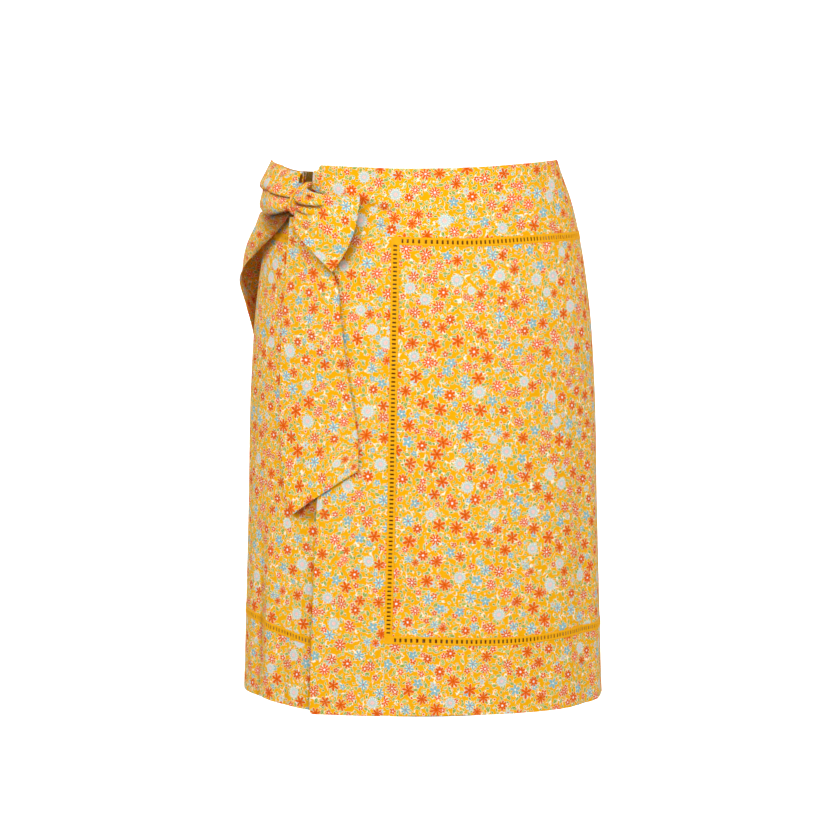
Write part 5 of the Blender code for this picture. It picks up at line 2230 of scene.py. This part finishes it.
def declare_cloth(body: SkirtBody, made: Mapping[str, Piece]) -> None:
    """Works out for each piece of cloth the size and area of its cut and what it hangs from, and keeps none
    of it.

    Args:
        body: the skirt's panels.
        made: every finished piece, by node or name.
    """
    going = {
        "yoke_overlap": ["stitches_waist_front"],
        "front_band": ["stitches_wrap_edge"],
        "front_panel": ["trim_front_vertical", "trim_yoke_front"],
        "hem_band_front": ["trim_hem_front", "stitches_hem_front"],
        "yoke_back": ["stitches_waist_back"],
        "back_panel": ["trim_yoke_back"],
        "hem_band_back": ["trim_hem_back", "stitches_hem_back"],
        "underlap_panel": ["trim_yoke_underlap"],
        "hem_band_underlap": ["trim_hem_underlap", "stitches_hem_underlap"],
    }
    for panel in body.panels():
        flat, area = panel.flat()
        rests = made[panel.hangs_from] if panel.hangs_from in made else panel.hangs_from
        pieces = [made[name] for name in going.get(panel.node, ())]
    ties = (
        ("bow_loop_right", (0.066, 0.152), Held.FOLDED, "bow_knot"),
        ("bow_loop_left", (0.06, 0.154), Held.FOLDED, "bow_knot"),
        ("tie_overlap", (0.056, 0.032), Held.GATHERED, "yoke_overlap"),
        ("tie_side", (0.044, 0.074), Held.GATHERED, "yoke_underlap"),
        ("tail_front", (0.078, 0.29), Held.HUNG, "bow_knot"),
        ("tail_side", (0.062, 0.33), Held.HUNG, "bow_knot"),
        ("bow_knot", (0.04, 0.03), Held.GATHERED, "tie_overlap"),
    )
    for name, flat, held, above in ties:
        whole = flat[0] * flat[1]
        area = float(np.clip(surface_area(made[name]), LEAST_SHARE * whole, whole))


# ---- Studio ----


@dataclass(frozen=True)
class Studio:
    """Camera, soft lights, pale floor and backdrop."""

    distance: float = 3.4
    eye_height: float = 0.145
    pitch: float = 6.775
    lens: float = 146.79
    sensor: float = 36.0
    frame_pixels: float = 840.0
    axis_shift_pixels: float = -2.75
    floor_height: float = -0.78
    floor_near: float = -40.0
    floor_far: float = 2.5
    floor_bend: float = 1.5
    wall_height: float = 14.0
    half_floor: float = 40.0
    world_strength: float = 0.4
    aim: Triple = (0.0, 0.0, -0.27)
    lights: tuple[tuple[Any, ...], ...] = (
        ("key_light", (0.5, -2.9, 1.4), 1.5, 50.0), ("left_light", (-2.3, -1.9, 0.6), 1.8, 40.0),
        ("right_light", (2.6, -1.6, 0.6), 1.8, 26.0), ("back_light", (-0.6, 3.0, 1.4), 1.8, 50.0),
    )

    def _camera(self) -> None:
        """Camera level with the waist, looking slightly down on the skirt."""
        data = bpy.data.cameras.new("camera")
        data.sensor_fit = "HORIZONTAL"
        data.sensor_width = self.sensor
        data.lens = self.lens
        data.shift_x = self.axis_shift_pixels / self.frame_pixels
        data.clip_end = 50.0
        camera = linked("camera", data)
        camera.location = (0.0, -self.distance, self.eye_height)
        camera.rotation_euler = (math.radians(90.0 - self.pitch), 0.0, 0.0)
        bpy.context.scene.camera = camera

    def _light(self, name: str, place: Triple, size: float, watts: float) -> None:
        """Square soft light that faces the middle of the skirt."""
        data = bpy.data.lights.new(name, "AREA")
        data.shape = "SQUARE"
        data.size = size
        data.energy = watts
        light = linked(name, data)
        light.location = place
        aim = np.array(self.aim) - np.array(place)
        yaw = math.atan2(aim[1], aim[0]) - math.pi / 2.0
        tilt = math.atan2(aim[2], math.hypot(aim[0], aim[1]))
        light.rotation_euler = (math.pi / 2.0 + tilt, 0.0, yaw)

    def _sweep(self, finish: Paper) -> None:
        """Floor that curves up into a wall behind the skirt, as one sheet."""
        run = np.linspace(0.0, 1.0, 60)
        turn = np.clip((run - 0.5) * 4.0, 0, 1) * math.pi / 2
        level = self.floor_near + 2.0 * (self.floor_far - self.floor_near) * run
        depth = np.where(run < 0.5, level, self.floor_far + self.floor_bend * np.sin(turn))
        rise = np.where(run < 0.5, 0.0, self.floor_bend * (1 - np.cos(turn)))
        rise = rise + np.clip(run - 0.75, 0, 1) * self.wall_height
        x, _ = np.meshgrid(np.linspace(-self.half_floor, self.half_floor, 9), run)
        points = np.stack([x, depth[:, None] + 0 * x, self.floor_height + rise[:, None] + 0 * x], axis=-1)
        rows, columns = x.shape
        index = np.arange(rows * columns).reshape(rows, columns)
        faces = np.stack([index[:-1, :-1], index[:-1, 1:], index[1:, 1:], index[1:, :-1]], axis=-1)
        mesh = quad_mesh("floor", points.reshape(-1, 3), faces.reshape(-1, 4))
        mesh.shade_smooth()
        mesh.materials.append(finish.build())
        floor = linked("floor", mesh)
        floor.visible_diffuse = False
        floor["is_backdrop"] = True

    def _world(self) -> None:
        """Even white surroundings."""
        world = bpy.data.worlds.new("surroundings")
        bpy.context.scene.world = world
        world.use_nodes = True
        background = world.node_tree.nodes["Background"]
        background.inputs["Color"].default_value = (1.0, 1.0, 1.0, 1.0)
        background.inputs["Strength"].default_value = self.world_strength

    def build(self) -> None:
        """Sets up the studio."""
        self._camera()
        self._world()
        self._sweep(Paper("backdrop_paper"))
        for name, place, size, watts in self.lights:
            self._light(name, place, size, watts)
        scene = bpy.context.scene
        scene.view_settings.view_transform = "Standard"
        scene.view_settings.look = "None"


def corners() -> list[list[float]]:
    """Lowest and highest corner of the shown model as plain lists."""
    return [[float(number) for number in corner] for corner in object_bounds()]


def main() -> None:
    """Loads the frame, builds every piece over it and finishes the scene."""
    logging.basicConfig(level=logging.INFO, format="%(name)s: %(message)s")
    for thing in list(bpy.data.objects):
        bpy.data.objects.remove(thing, do_unlink=True)
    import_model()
    Studio().build()
    finishes = Finishes()
    body = SkirtBody()
    made: dict[str, Piece] = {}
    for part in (body, LadderTrims(), Bow(), Sewing()):
        made.update(part.build(finishes))
    declare_cloth(body, made)
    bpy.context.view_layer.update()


if __name__ == "__main__":
    main()
